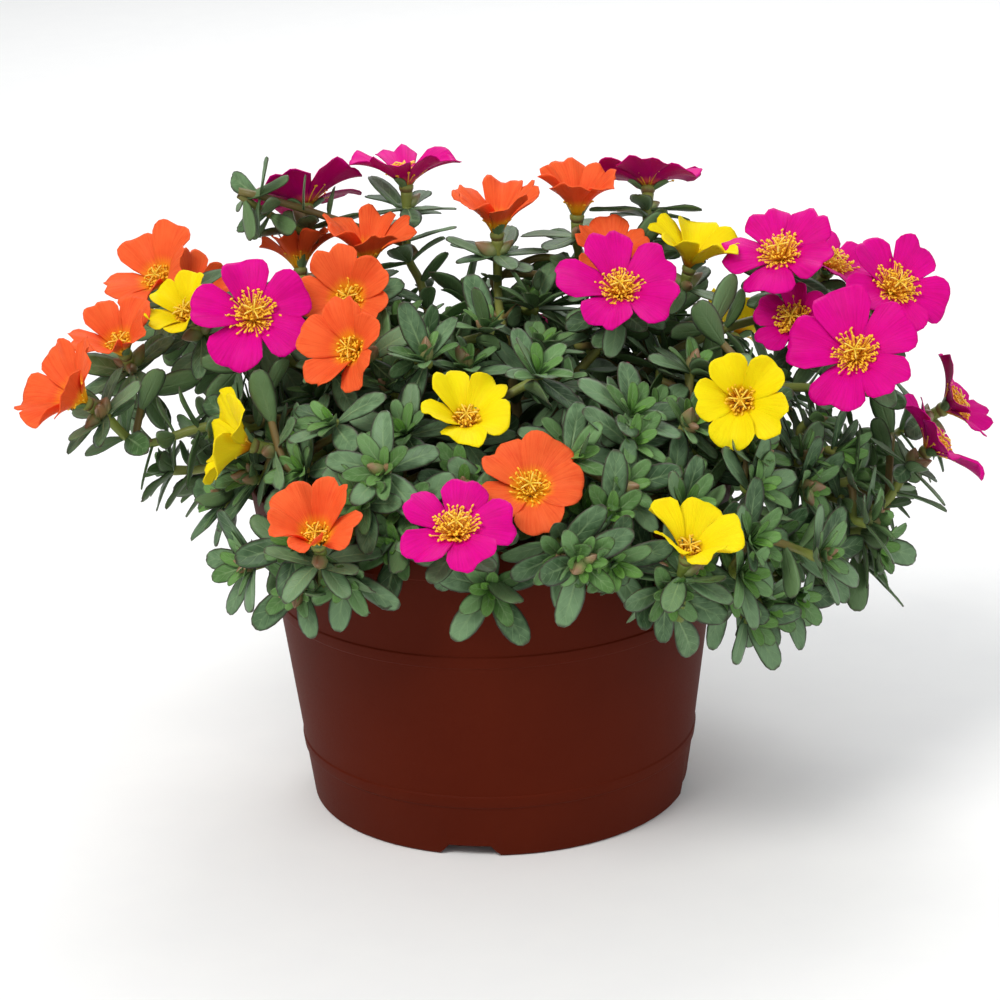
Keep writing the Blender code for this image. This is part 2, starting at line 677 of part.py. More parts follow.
def route(start, start_way, end, end_way, rng, loose, arrival):
    """Knots from start to end that leave and arrive in the given directions and clear the pot."""
    span = (end - start).length
    sway = Vector((rng.uniform(-1, 1), rng.uniform(-1, 1), rng.uniform(-0.5, 1))) * loose
    middle = start.lerp(end, 0.5) + Vector((0, 0, 0.12 * span)) + sway
    knots = [start, start + start_way * (0.22 * span), middle, end - end_way * (arrival * span), end]
    return [knots[0]] + [over_rim(k) for k in knots[1:-1]] + [knots[-1]]


def plan_shoot(space, node, start, start_way, end, end_way, count, sides, bloom, rng):
    """A stem or twig from start to end, swayed aside until it crosses no other node; None if it can't."""
    whorl = end - end_way * (NECK + WHORL_THICK if bloom else WHORL_THICK)
    thick = STEM_RADIUS if count == STEM_POINTS else TWIG_RADIUS
    radii = [thick + (TWIG_RADIUS - thick) * k / (count - 1) for k in range(count - 1)] + [WHORL_RADIUS]
    radii += [WHORL_RADIUS, CALYX_RADIUS] if bloom else [WHORL_RADIUS]
    if count != STEM_POINTS:
        radii[0] = TWIG_ROOT_RADIUS
    for attempt in range(SHOOT_TRIES):
        arrival = ARRIVALS[attempt % len(ARRIVALS)]
        knots = route(start, start_way, whorl, end_way, rng, SWAY * attempt, arrival)
        path = smooth_path(knots, count)
        path = [path[0]] + [over_rim(p) for p in path[1:-1]] + [path[-1]]
        path += [end - end_way * NECK, end] if bloom else [end]
        tested = path[:-1] + [path[-1].lerp(path[-2], 0.25)]
        entry = space.entry(node, *tube_mesh(tested, [r + LEAF_CLEAR for r in radii], sides))
        if not space.crosses(entry):
            space.add(entry)
            return {"node": node, "path": path, "radii": radii, "sides": sides, "bloom": bloom}
    return None


def path_point(path, share):
    place = share * (len(path) - 1)
    k = min(int(place), len(path) - 2)
    return path[k].lerp(path[k + 1], place - k), (path[k + 1] - path[k]).normalized()


def plan_stems(space, blooms, rng):
    """The main stem of each node and the forks to its other blooms."""
    targets = {name: sum((blooms[b]["heart"] for b in carried), Vector()) / len(carried)
               for name, carried in STEMS.items()}
    targets.update({name: seen_at(*tip) for name, tip in LEAFY_STEMS.items()})
    roots = root_places(targets)
    shoots, starts = [], {}
    for name, flat in roots.items():
        ground = Vector((flat.x, flat.y, soil_height(flat.x, flat.y) + ROOT_LIFT))
        starts[name] = ground
        out = Vector((targets[name].x - flat.x, targets[name].y - flat.y, 0.0))
        way = (Vector((0, 0, 0.05)) + out * 0.35).normalized()
        carried = STEMS.get(name, ())
        end = calyx_tip(blooms[carried[0]]) if carried else targets[name]
        end_way = blooms[carried[0]]["facing"] if carried else Vector((out.x, out.y, -0.02)).normalized()
        main = plan_shoot(space, name, ground, way, end, end_way, STEM_POINTS, STEM_SIDES, bool(carried), rng)
        main["path"].insert(0, Vector((flat.x, flat.y, SOIL_EDGE_HEIGHT - HOLE_DEPTH + 0.001)))
        main["radii"].insert(0, STEM_RADIUS)
        shoots.append(main)
        for bloom in carried[1:]:
            end, way = calyx_tip(blooms[bloom]), blooms[bloom]["facing"]
            for share in FORKS_AT:
                fork, fork_way = path_point(main["path"], share)
                twig = plan_shoot(space, name, fork, fork_way, end, way, FORK_POINTS, TWIG_SIDES, True, rng)
                if twig:
                    shoots.append(twig)
                    break
            else:
                raise ValueError(f"no way for {name} to {bloom}")
    return shoots, starts


def mound_tip(index):
    """A leafy tip's place on the mound and its direction, by the golden angle, which spreads them evenly."""
    share = math.sqrt((index + 0.6) / MOUND_TIPS)
    turn = index * GOLDEN_ANGLE
    x, y = math.sin(turn), -math.cos(turn)
    across, across_edge = MOUND_LEFT if x < 0 else MOUND_RIGHT
    deep, deep_edge = MOUND_FRONT if y < 0 else MOUND_BACK
    reach = share / math.hypot(x / across, y / deep)
    edge = across_edge * x * x + deep_edge * y * y
    place = Vector((x * reach, y * reach, MOUND_TOP - (MOUND_TOP - edge) * share**2.6))
    return place, Vector((x * share, y * share, 1.1 - 0.9 * share**2)).normalized()


def plan_tips(space, shoots, rng):
    """Leafy side twigs that fill the mound, each from the nearest stem below it."""
    made = []
    for index in range(MOUND_TIPS):
        place, way = mound_tip(index)
        choices = []
        for order, shoot in enumerate(shoots):
            for k in range(3, len(shoot["path"]) - 2):
                gap = place - shoot["path"][k]
                if gap.length > 0.012 and gap.dot(way) > 0.2 * gap.length:
                    choices.append((gap.length, order, k))
        choices.sort()
        for _, order, k in choices[:TIP_CHOICES]:
            start, node = shoots[order]["path"][k], shoots[order]["node"]
            leave = (place - start).normalized()
            count = 4 if math.hypot(place.x, place.y) > 0.085 else 3
            twig = plan_shoot(space, node, start, leave, place, way, count, TIP_SIDES, False, rng)
            if twig:
                made.append(twig)
                break
    return made


def place_leaf(space, node, centre, axis, out, lean, length, rng):
    """A leaf of a whorl, turned and leaned until it crosses nothing; None if it can't."""
    for attempt in range(LEAF_TRIES):
        aside = axis.cross(out) * rng.uniform(-0.11, 0.11)
        tilt = lean + rng.uniform(-0.05, 0.05) * attempt
        ahead = (axis * math.cos(tilt) + (out + aside) * math.sin(tilt)).normalized()
        size = length * (1 - 0.035 * attempt)
        leaf = {"base": centre, "ahead": ahead, "up": (axis - ahead * axis.dot(ahead)).normalized(),
                "length": size, "width": size * LEAF_WIDTH / LEAF_LENGTH, "arch": rng.uniform(-0.22, 0.02),
                "cup": rng.uniform(0.05, 0.25)}
        if space.crosses(space.entry(node, *leaf_mesh(leaf, LEAF_CLEAR))):
            continue
        outer = dict(leaf, base=centre + ahead * (0.3 * size), length=0.7 * size)
        if not space.crosses(space.entry(node, *leaf_mesh(outer, LEAF_CLEAR)), same_node=True):
            return leaf
    return None


def plan_whorls(space, shoots, rng):
    """A whorl of leaves at each leafy tip and under each bloom, and a bud in some of them."""
    buds = []
    for number, shoot in enumerate(shoots):
        path, node, sides = shoot["path"], shoot["node"], shoot["sides"]
        ring = len(path) - (3 if shoot["bloom"] else 2)
        _, side, up = ring_frames(path)[ring]
        centre, axis = (path[ring] + path[ring + 1]) / 2, (path[-1] - path[ring]).normalized()
        lean, size = (COLLAR_LEAN, LEAF_LENGTH * 0.92) if shoot["bloom"] else (TIP_LEAN, LEAF_LENGTH)
        leaves = {}
        for k in range(sides):
            turn = 2 * math.pi * (k + 0.5) / sides
            out = side * math.cos(turn) + up * math.sin(turn)
            tilt, length = math.radians(rng.uniform(*lean)), size * rng.uniform(0.84, 1.08)
            leaf = place_leaf(space, node, centre, axis, out, tilt, length, rng)
            if leaf:
                leaves[k] = leaf
                space.add(space.entry(node, *leaf_mesh(leaf, LEAF_CLEAR)))
        shoot["whorl"] = {"ring": ring, "leaves": leaves}
        if number % BUD_EVERY == 0:
            out = side if shoot["bloom"] else side * 0.3
            bud = plan_bud(space, node, centre, (axis + out * 0.9).normalized())
            if bud:
                buds.append(bud)
    return buds


def plan_bud(space, node, centre, ahead):
    """A bud at a whorl; None if it would cross another node."""
    bud = {"node": node, "base": centre, "ahead": ahead, "length": BUD_LENGTH, "radius": BUD_RADIUS}
    larger = dict(bud, radius=BUD_RADIUS + LEAF_CLEAR, length=BUD_LENGTH + LEAF_CLEAR)
    entry = space.entry(node, *bud_mesh(larger))
    if space.crosses(entry):
        return None
    space.add(entry)
    return bud


def plan_plant():
    """Every bloom, root, shoot with its whorl of leaves, and bud, none of them crossing another node."""
    space = Space()
    rng = random.Random(SEED)
    space.add(space.entry("pot", *turned_mesh(pot_profile(), POT_SIDES)))
    blooms = plan_blooms(space)
    shoots, roots = plan_stems(space, blooms, rng)
    shoots += plan_tips(space, shoots, rng)
    buds = plan_whorls(space, shoots, rng)
    return blooms, roots, shoots, buds


# Building the nodes


def make_stem(name, shoots, buds):
    """One leafy stem: its main stem down into the soil, its twigs with their leaves, and its buds."""
    tubes = [tube(name, s["path"], s["radii"], s["sides"], s["whorl"]) for s in shoots]
    obj, extra = tubes[0], tubes[1:]
    obj.data.materials.append(material("green"))
    extra += [mesh_object(f"{name}_bud", *bud_mesh(bud)) for bud in buds]
    if extra:
        apply_boolean(obj, extra, "UNION")
    return obj


def main():
    clear_scene()
    blooms, roots, shoots, buds = plan_plant()
    make_pot()
    make_soil(list(roots.values()))
    for name, bloom in blooms.items():
        mesh_object(f"bloom_{name}", *bloom_mesh(bloom), bloom["colour"])
    for name in roots:
        make_stem(name, [s for s in shoots if s["node"] == name], [b for b in buds if b["node"] == name])


main()
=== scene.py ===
"""The looks of a potted portulaca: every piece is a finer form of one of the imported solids.

Metres, +Z up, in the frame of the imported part. The plan of the plant repeats the part's own rules,
and then adds what only the finer form has.
"""

import functools
import math
import random

import bmesh
import bpy
import numpy as np
from mathutils import Matrix, Vector
from mathutils.bvhtree import BVHTree

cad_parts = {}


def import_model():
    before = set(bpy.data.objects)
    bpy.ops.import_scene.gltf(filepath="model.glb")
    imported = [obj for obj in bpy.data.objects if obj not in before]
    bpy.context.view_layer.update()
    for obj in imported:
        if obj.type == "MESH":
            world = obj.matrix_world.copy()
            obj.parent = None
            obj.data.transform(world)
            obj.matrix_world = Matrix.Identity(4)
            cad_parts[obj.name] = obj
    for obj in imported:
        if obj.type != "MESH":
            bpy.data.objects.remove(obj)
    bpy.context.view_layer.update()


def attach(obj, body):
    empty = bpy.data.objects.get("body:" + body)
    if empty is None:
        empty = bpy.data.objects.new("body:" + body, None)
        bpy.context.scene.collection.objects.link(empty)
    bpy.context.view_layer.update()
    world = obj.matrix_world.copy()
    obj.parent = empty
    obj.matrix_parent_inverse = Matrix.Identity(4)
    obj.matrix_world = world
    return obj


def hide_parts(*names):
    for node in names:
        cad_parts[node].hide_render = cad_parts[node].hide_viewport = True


# Measures of the part

# Pot
POT_HEIGHT = 0.140
POT_BASE_RADIUS = 0.078
POT_TAPER = 0.130  # growth of the outer radius per unit of height
POT_WALL = 0.0022
POT_FLOOR_LOW = 0.0050
POT_FLOOR_HIGH = 0.0075
POT_SKIRT = 0.0035  # width of the ring that the pot stands on
POT_DRAFT = 0.001  # slope of the ring's and the centre foot's inner sides
FOOT_CHAMFER = 0.0008
CENTRE_FOOT_RADIUS = 0.016
RIM_LOW = 0.1240
RIM_UNDERCUT = 0.0006
RIM_PROUD = 0.0026
RIM_ROUND = 0.0012
LIP_STEP = 0.0012  # the inside narrows by this under the lip
LIP_DEPTH = 0.004
RIB_HEIGHTS = (0.0248, 0.0878)  # middles of the two raised bands
RIB_WIDTH = 0.0045
RIB_PROUD = 0.0006
RIB_CHAMFER = 0.0005
POT_SIDES = 36
NOTCH_COUNT = 4
NOTCH_WIDTH_LOW = 0.025
NOTCH_WIDTH_HIGH = 0.017
NOTCH_HEIGHT = 0.0045
NOTCH_TURN = math.radians(-100.0)  # the front notch, a little left of the middle

# Soil
SOIL_GAP = 0.0004
SOIL_EDGE_HEIGHT = 0.1275
SOIL_CROWN = 0.0045
SOIL_BUMP = 0.0012
SOIL_WAVES = (170.0, 150.0)  # of the bumps across and in depth, in radians to the metre
HOLE_DEPTH = 0.014
ROOT_LIFT = 0.004  # a stem bends only this far above the soil

# Stems
STEM_SIDES = 5
TWIG_SIDES = 4
TIP_SIDES = 5
STEM_RADIUS = 0.0024
TWIG_RADIUS = 0.0016
TWIG_ROOT_RADIUS = 0.0008  # inside the stem that a twig grows from
CALYX_RADIUS = 0.0026
NECK = 0.0062  # from the calyx down to the whorl of leaves under it, in line with the bloom
ROOT_SPREAD = 0.30  # a stem's root lies this share of the way out to the part of the mound that it fills
ROOT_SPACING = 0.0105
ROOT_LIMIT = 0.062
ROOT_PASSES = 80
ROUTE_RISE = 0.12  # of a stem's middle above the straight line, as a share of its length
ROUTE_LEAVE = 0.22  # straight first part of a stem, as a share of its length
ARRIVALS = (0.22, 0.14, 0.08)  # straight last part of a stem under its bloom, as a share of its length
FORKS_AT = (0.6, 0.45, 0.75, 0.35, 0.8)  # places along a stem where a fork may leave it, best first
RIM_PASS = 0.1475  # a stem's lowest height where it crosses the pot's rim
RIM_SPAN = (0.078, 0.104)  # radii between which a stem is over the rim
SOIL_PASS = 0.005  # a stem's least height above the soil
SWAY = 0.0012  # a stem's way is moved aside this much further at each try
SEAT_GAP = 0.0003

# Blooms
PETALS = 5
CORE_DROP = 0.0030  # from the heart of a bloom down to its seat on the calyx
SEAT_RADIUS = 0.0022
PETAL_THICK = 0.0010
BOSS_RADIUS = 0.0046
BOSS_HEIGHT = 0.0052
BLOOM_TRIES = 14
BLOOM_STEP = 0.004  # a bloom that crosses another goes back this far along its line of sight
PETAL_START = 22.0  # a petal leaves the heart this much steeper than its cup angle, in degrees
PETAL_STEEPEST = 78.0
PETAL_END = 12.0  # and ends this much flatter
PETAL_STEPS = 6
PETAL_WAVE = 0.0016
# Outline of a petal: degrees from its middle line, share of its length, and lift
PETAL_EDGE = ((-36, 0.50, 0.0), (-27, 0.88, -0.0012), (1, 0.97, 0.0), (26, 0.92, 0.0022))

# Leaves and the mound of leafy tips
LEAF_LENGTH = 0.0250
LEAF_WIDTH = 0.0138
LEAF_THICK = 0.0016
LEAF_CLEAR = 0.0005
LEAF_ARCH = (-0.22, 0.02)  # rise of its tip, as a share of its length
LEAF_CUP = (0.05, 0.25)  # rise of its sides, as a share of its half width
WHORL_RADIUS = 0.0021  # of the stem where a whorl of leaves grows out of it
WHORL_THICK = 0.0018
# Half of a leaf's outline from its foot: share of its length, and share of its half width
LEAF_EDGE = ((0.0, 0.16), (0.42, 0.80), (0.78, 0.86))
LEAF_MIDDLE = 0.52  # the midrib is thickest at this share of the length
GOLDEN_ANGLE = math.radians(137.508)
MOUND_TIPS = 44
MOUND_TOP = 0.200
# How far the mound reaches each way, and the height of its edge there
MOUND_FRONT = (0.122, 0.139)
MOUND_LEFT = (0.142, 0.126)
MOUND_RIGHT = (0.172, 0.104)
MOUND_BACK = (0.138, 0.118)
TIP_LEAN = (54, 78)  # angle of the outer leaves from their twig, in degrees
COLLAR_LEAN = (74, 96)
COLLAR_SIZE = 0.92  # of the leaves under a bloom, as a share of the others
WHORL_SIZES = (0.84, 1.08)
BUD_EVERY = 6  # one whorl in this many has a bud
BUD_LENGTH = 0.0115
BUD_RADIUS = 0.0028
BUD_FATTEST = 0.42  # share of a bud's length
STEM_POINTS = 6
FORK_POINTS = 5
SHOOT_TRIES = 60
LEAF_TRIES = 8
LEAF_SHRINK = 0.035  # a leaf is this much shorter at each try
LEAF_INNER = 0.3  # share of a leaf's length that may lie in the leaves of its own node
TIP_CHOICES = 6
TIP_LEAST = 0.012  # the shortest leafy twig
TIP_AHEAD = 0.2  # cosine of the widest turn from its stem to its tip
LONG_TIP_FROM = 0.085  # a tip this far from the pot's axis has more points on its twig
LONG_TIP_POINTS = 4
SHORT_TIP_POINTS = 3
SEED = 22

# The view that the blooms were placed from, in pixels of a picture 1000 wide and 1000 high
VIEW_CENTRE = 500.0
VIEW_FOCAL = 3362.0
VIEW_DISTANCE = 1.300
VIEW_HEIGHT = 0.576
VIEW_YAW = math.radians(0.14)
VIEW_PITCH = math.radians(19.19)
VIEW_ROLL = math.radians(-1.82)

# Colour, pixel across and down of the heart, depth behind the pot's axis, facing round from the
# front and up from level in degrees, diameter when flattened, and cup angle in degrees.
BLOOMS = {
    "front_pink": ("magenta", 456, 534, -0.118, 5, 58, 0.050, 18),
    "front_coral": ("orange", 531, 492, -0.098, -3, 50, 0.046, 20),
    "front_left_coral": ("orange", 318, 543, -0.112, -12, 60, 0.053, 42),
    "front_right_lemon": ("yellow", 687, 556, -0.114, 25, 65, 0.051, 44),
    "middle_lemon": ("yellow", 466, 424, -0.062, 5, 62, 0.046, 32),
    "right_lemon": ("yellow", 741, 402, -0.062, -8, 28, 0.046, 28),
    "centre_pink": ("magenta", 620, 294, -0.005, 0, 52, 0.057, 20),
    "top_lemon": ("yellow", 690, 266, 0.022, 60, 72, 0.053, 38),
    "hidden_coral": ("orange", 612, 262, 0.024, 0, 65, 0.042, 35),
    "top_right_pink": ("magenta", 648, 186, 0.055, 170, 62, 0.052, 15),
    "top_right_coral": ("orange", 577, 214, 0.040, 30, 84, 0.051, 46),
    "top_coral": ("orange", 497, 232, 0.038, 8, 86, 0.053, 43),
    "top_pink": ("magenta", 406, 184, 0.055, 180, 85, 0.056, 26),
    "top_left_pink": ("magenta", 306, 205, 0.062, -165, 55, 0.055, 15),
    "upper_coral": ("orange", 367, 262, 0.028, 20, 85, 0.054, 42),
    "back_left_coral": ("orange", 300, 268, 0.050, 200, 70, 0.044, 45),
    "inner_coral": ("orange", 350, 302, 0.000, -10, 35, 0.049, 30),
    "near_coral": ("orange", 356, 352, -0.038, -32, 30, 0.050, 38),
    "left_pink": ("magenta", 253, 318, -0.020, 8, 40, 0.052, 14),
    "left_lemon": ("yellow", 190, 318, 0.008, -40, 50, 0.040, 35),
    "fan_coral": ("orange", 164, 284, 0.045, -50, 50, 0.054, 34),
    "side_coral": ("orange", 190, 298, 0.088, 40, 45, 0.044, 38),
    "far_left_coral": ("orange", 124, 352, 0.005, -30, 60, 0.051, 42),
    "edge_left_coral": ("orange", 84, 402, -0.028, -62, 40, 0.058, 36),
    "low_left_lemon": ("yellow", 250, 445, -0.052, -80, 18, 0.052, 32),
    "right_pink": ("magenta", 782, 258, 0.005, -25, 55, 0.050, 14),
    "right_back_pink": ("magenta", 828, 270, 0.046, 60, 60, 0.046, 20),
    "far_right_pink": ("magenta", 892, 291, 0.000, 25, 42, 0.050, 14),
    "near_right_pink": ("magenta", 856, 357, -0.034, -12, 40, 0.057, 16),
    "inner_right_pink": ("magenta", 797, 325, 0.006, -30, 42, 0.040, 30),
    "edge_right_pink": ("magenta", 928, 450, -0.015, 90, 42, 0.052, 18),
    "edge_back_pink": ("magenta", 945, 408, 0.024, 80, 30, 0.046, 25),
    "rear_left_coral": ("orange", 285, 330, 0.112, -150, 40, 0.046, 25),
    "rear_pink": ("magenta", 520, 345, 0.138, 178, 38, 0.050, 15),
    "rear_right_lemon": ("yellow", 735, 335, 0.112, 145, 40, 0.046, 28),
    "rear_low_pink": ("magenta", 640, 395, 0.150, 165, 25, 0.048, 18),
}

# Each leafy stem with the blooms that it carries; the first ends the main stem, the others fork off it.
STEMS = {
    "stem_edge_left": ("edge_left_coral", "far_left_coral"),
    "stem_left_back": ("fan_coral", "side_coral"),
    "stem_left_lemon": ("low_left_lemon", "left_lemon"),
    "stem_left_pink": ("left_pink",),
    "stem_near_coral": ("near_coral", "inner_coral"),
    "stem_upper_coral": ("upper_coral", "back_left_coral"),
    "stem_top_pink": ("top_pink", "top_left_pink"),
    "stem_top_coral": ("top_coral", "top_right_coral", "hidden_coral"),
    "stem_centre_pink": ("centre_pink", "top_right_pink"),
    "stem_right_lemon": ("right_lemon", "top_lemon"),
    "stem_middle_lemon": ("middle_lemon",),
    "stem_front_left": ("front_left_coral",),
    "stem_front_pink": ("front_pink",),
    "stem_front_coral": ("front_coral",),
    "stem_front_right": ("front_right_lemon",),
    "stem_right_pink": ("right_pink", "right_back_pink"),
    "stem_near_right": ("near_right_pink", "inner_right_pink", "far_right_pink"),
    "stem_edge_right": ("edge_right_pink", "edge_back_pink"),
    "stem_rear_left": ("rear_left_coral",),
    "stem_rear": ("rear_pink", "rear_low_pink"),
    "stem_rear_right": ("rear_right_lemon",),
}
# A stem with leaves alone, by pixel and depth of its tip
LEAFY_STEMS = {"stem_trailing": (862, 532, -0.020)}


# The part's own shapes


def pot_radius(height):
    return POT_BASE_RADIUS + POT_TAPER * height


def band(height, width, proud):
    """Profile points, going up, of a raised band round the pot."""
    low, high = height - width / 2, height + width / 2
    return [
        (pot_radius(low - RIB_CHAMFER), low - RIB_CHAMFER),
        (pot_radius(low) + proud, low),
        (pot_radius(high) + proud, high),
        (pot_radius(high + RIB_CHAMFER), high + RIB_CHAMFER),
    ]


def pot_profile():
    """(radius, height) from the middle of the underside, out, up the wall and back down the inside."""
    points = [(CENTRE_FOOT_RADIUS, 0.0), (CENTRE_FOOT_RADIUS + POT_DRAFT, POT_FLOOR_LOW)]
    skirt = POT_BASE_RADIUS - POT_SKIRT
    points += [(skirt - POT_DRAFT, POT_FLOOR_LOW), (skirt, 0.0)]
    points += [(POT_BASE_RADIUS - FOOT_CHAMFER, 0.0), (pot_radius(FOOT_CHAMFER), FOOT_CHAMFER)]
    for height in RIB_HEIGHTS:
        points += band(height, RIB_WIDTH, RIB_PROUD)
    rim = pot_radius(RIM_LOW) + RIM_PROUD
    top = pot_radius(POT_HEIGHT) + RIM_PROUD
    points += [(pot_radius(RIM_LOW), RIM_LOW - RIM_UNDERCUT), (rim, RIM_LOW)]
    points += [(top, POT_HEIGHT - RIM_ROUND), (top - RIM_ROUND, POT_HEIGHT)]
    inner = top - POT_WALL - RIM_ROUND
    points += [(inner, POT_HEIGHT), (inner - LIP_STEP, POT_HEIGHT - LIP_DEPTH)]
    points += [(pot_radius(POT_FLOOR_HIGH) - POT_WALL, POT_FLOOR_HIGH)]
    return points


@functools.lru_cache(maxsize=None)
def loft_faces(rings, sides):
    """Faces of a closed skin over rings of points, with a cap at each end."""
    faces = []
    for k in range(rings - 1):
        for s in range(sides):
            a, b = k * sides + s, k * sides + (s + 1) % sides
            faces.append((a, b, b + sides, a + sides))
    faces.append(tuple(reversed(range(sides))))
    faces.append(tuple(range((rings - 1) * sides, rings * sides)))
    return tuple(faces)


def turned_mesh(profile, sides):
    """Points and faces of a solid of revolution, closed by a flat disc at each end of its profile."""
    points = []
    for radius, height in profile:
        for k in range(sides):
            turn = 2 * math.pi * k / sides
            points.append(Vector((radius * math.cos(turn), radius * math.sin(turn), height)))
    return points, loft_faces(len(profile), sides)


def soil_height(x, y):
    """The soil's surface: a low crown with shallow bumps."""
    edge = pot_radius(SOIL_EDGE_HEIGHT)
    crown = SOIL_CROWN * (1 - (x * x + y * y) / edge**2)
    bump = SOIL_BUMP * math.sin(SOIL_WAVES[0] * x + 1.3) * math.cos(SOIL_WAVES[1] * y - 0.4)
    return SOIL_EDGE_HEIGHT + crown + bump


# Shapes that the plant is made of


def frame_of(axis, hint=Vector((0, 0, 1))):
    """Two unit vectors that with axis make a right-handed set; the second lies nearest to hint."""
    up = hint - axis * hint.dot(axis)
    if up.length < 1e-4:
        up = axis.orthogonal()
    up.normalize()
    return up.cross(axis).normalized(), up


def ring_frames(path):
    """(centre, side, up) of each ring of a tube along the path, turning with it and without twist."""
    frames, side = [], frame_of((path[1] - path[0]).normalized())[0]
    for k, centre in enumerate(path):
        along = (path[min(k + 1, len(path) - 1)] - path[max(k - 1, 0)]).normalized()
        side = (side - along * side.dot(along)).normalized()
        frames.append((centre, side, along.cross(side)))
    return frames


def spoke(side, up, turn):
    """The direction at an angle from side towards up."""
    return side * math.cos(turn) + up * math.sin(turn)


def tube_mesh(path, radii, sides):
    """Points and faces of a closed tube along a path."""
    points = []
    for (centre, side, up), radius in zip(ring_frames(path), radii):
        for s in range(sides):
            turn = 2 * math.pi * s / sides
            points.append(centre + spoke(side, up, turn) * radius)
    return points, loft_faces(len(path), sides)


def leaf_mesh(leaf, grow=0.0):
    """Points and faces of one leaf: a blade with a thick midrib, widest past its middle, arched."""
    length, half = leaf["length"] + grow, leaf["width"] / 2 + grow
    thick = LEAF_THICK / 2 + grow
    ahead, up = leaf["ahead"], leaf["up"]
    across = ahead.cross(up)

    def at(along, side, lift):
        arch = leaf["arch"] * length * along * along
        cup = leaf["cup"] * abs(side) * half
        return leaf["base"] + ahead * (along * length) + across * (side * half) + up * (lift + arch + cup)

    points = [at(along, -side, 0) for along, side in LEAF_EDGE] + [at(1.0, 0.0, 0)]
    points += [at(along, side, 0) for along, side in reversed(LEAF_EDGE)]
    points += [at(LEAF_MIDDLE, 0, thick), at(LEAF_MIDDLE, 0, -thick)]
    top = [(k, (k + 1) % 7, 7) for k in range(7)]
    low = [((k + 1) % 7, k, 8) for k in range(7)]
    return points, top + low


def bud_mesh(bud):
    """Points and faces of a pointed flower bud: a four-sided spindle, fattest below its middle."""
    ahead = bud["ahead"]
    side, up = frame_of(ahead)
    points = [bud["base"], bud["base"] + ahead * bud["length"]]
    for turn in range(4):
        out = spoke(side, up, turn * math.pi / 2)
        points.append(bud["base"] + ahead * (BUD_FATTEST * bud["length"]) + out * bud["radius"])
    faces = [(0, 2 + (k + 1) % 4, 2 + k) for k in range(4)] + [(1, 2 + k, 2 + (k + 1) % 4) for k in range(4)]
    return points, faces


def petal_curve(bloom, share):
    """(out, up) of a petal's middle line at a share of its length, from the bloom's heart."""
    length = bloom["diameter"] / 2 - SEAT_RADIUS
    start = math.radians(min(PETAL_STEEPEST, bloom["cup"] + PETAL_START))
    end = math.radians(bloom["cup"] - PETAL_END)
    out, up = SEAT_RADIUS, 0.0
    for k in range(PETAL_STEPS):
        lean = start + (end - start) * (k + 0.5) / PETAL_STEPS * share
        out += math.cos(lean) * length * share / PETAL_STEPS
        up += math.sin(lean) * length * share / PETAL_STEPS
    return out, up


def bloom_mesh(bloom, grow=1.0, thick=PETAL_THICK):
    """Points and faces of a bloom: five lobed petals round a crown of stamens, on a small flat seat."""
    side, up = frame_of(bloom["facing"])
    heart, facing = bloom["heart"], bloom["facing"]
    pitch = 2 * math.pi / PETALS

    def at(turn, out, lift):
        turn += bloom["spin"]
        return heart + spoke(side, up, turn) * out + facing * lift

    def on_petal(petal, off, share, lift=0.0):
        out, rise = petal_curve(bloom, share)
        return at(petal * pitch + math.radians(off), out * grow, rise + lift)

    points, faces = [], []
    for petal in range(PETALS):
        # The leading edge of each petal rides over the trailing edge of the next one.
        wave = PETAL_WAVE * math.sin(2.4 * petal + 5 * bloom["spin"])
        for off, share, lift in PETAL_EDGE:
            points.append(on_petal(petal, off, share, lift + (wave if share > 0.5 else 0.0)))
    rim = len(PETAL_EDGE) * PETALS
    for sign in (1, -1):
        for petal in range(PETALS):
            points += [
                on_petal(petal, -36, 0.26, sign * thick * 0.6 + 0.0004),
                on_petal(petal, 0, 0.56, sign * thick * 0.6 - 0.0006),
            ]
    top, low = rim, rim + 2 * PETALS
    boss = low + 2 * PETALS
    for petal in range(PETALS):
        points.append(at((petal - 0.5) * pitch, BOSS_RADIUS, 0.0022))
    crown = boss + PETALS
    points += [at((petal - 0.5) * pitch, BOSS_RADIUS * 0.9, BOSS_HEIGHT + 0.0012) for petal in range(PETALS)]
    tip = len(points)
    points.append(at(0.0, 0.0, BOSS_HEIGHT + 0.0004))
    seat = tip + 1
    points += [at((petal - 0.5) * pitch, SEAT_RADIUS, -CORE_DROP) for petal in range(PETALS)]
    for petal in range(PETALS):
        after = (petal + 1) % PETALS
        r = [4 * petal, 4 * petal + 1, 4 * petal + 2, 4 * petal + 3, 4 * after]
        for ring, flip in ((top, False), (low, True)):
            inner, middle, inner_after = ring + 2 * petal, ring + 2 * petal + 1, ring + 2 * after
            made = [(r[0], r[1], middle, inner), (r[1], r[2], middle), (r[2], r[3], middle)]
            made += [(r[3], r[4], inner_after, middle)]
            faces += [tuple(reversed(f)) if flip else f for f in made]
        a, b = top + 2 * petal, top + 2 * after
        upper, lower = top + 2 * petal + 1, low + 2 * petal + 1
        faces += [(a, upper, boss + after, boss + petal), (upper, b, boss + after)]
        faces += [(boss + petal, boss + after, crown + after, crown + petal)]
        faces += [(crown + petal, crown + after, tip)]
        c, d = low + 2 * petal, low + 2 * after
        faces += [(lower, c, seat + petal, seat + after), (d, lower, seat + after)]
    faces.append(tuple(seat + k for k in range(PETALS)))
    return points, faces


# The plan of the plant: where each bloom, stem, leaf and bud goes, each kept clear of the other nodes


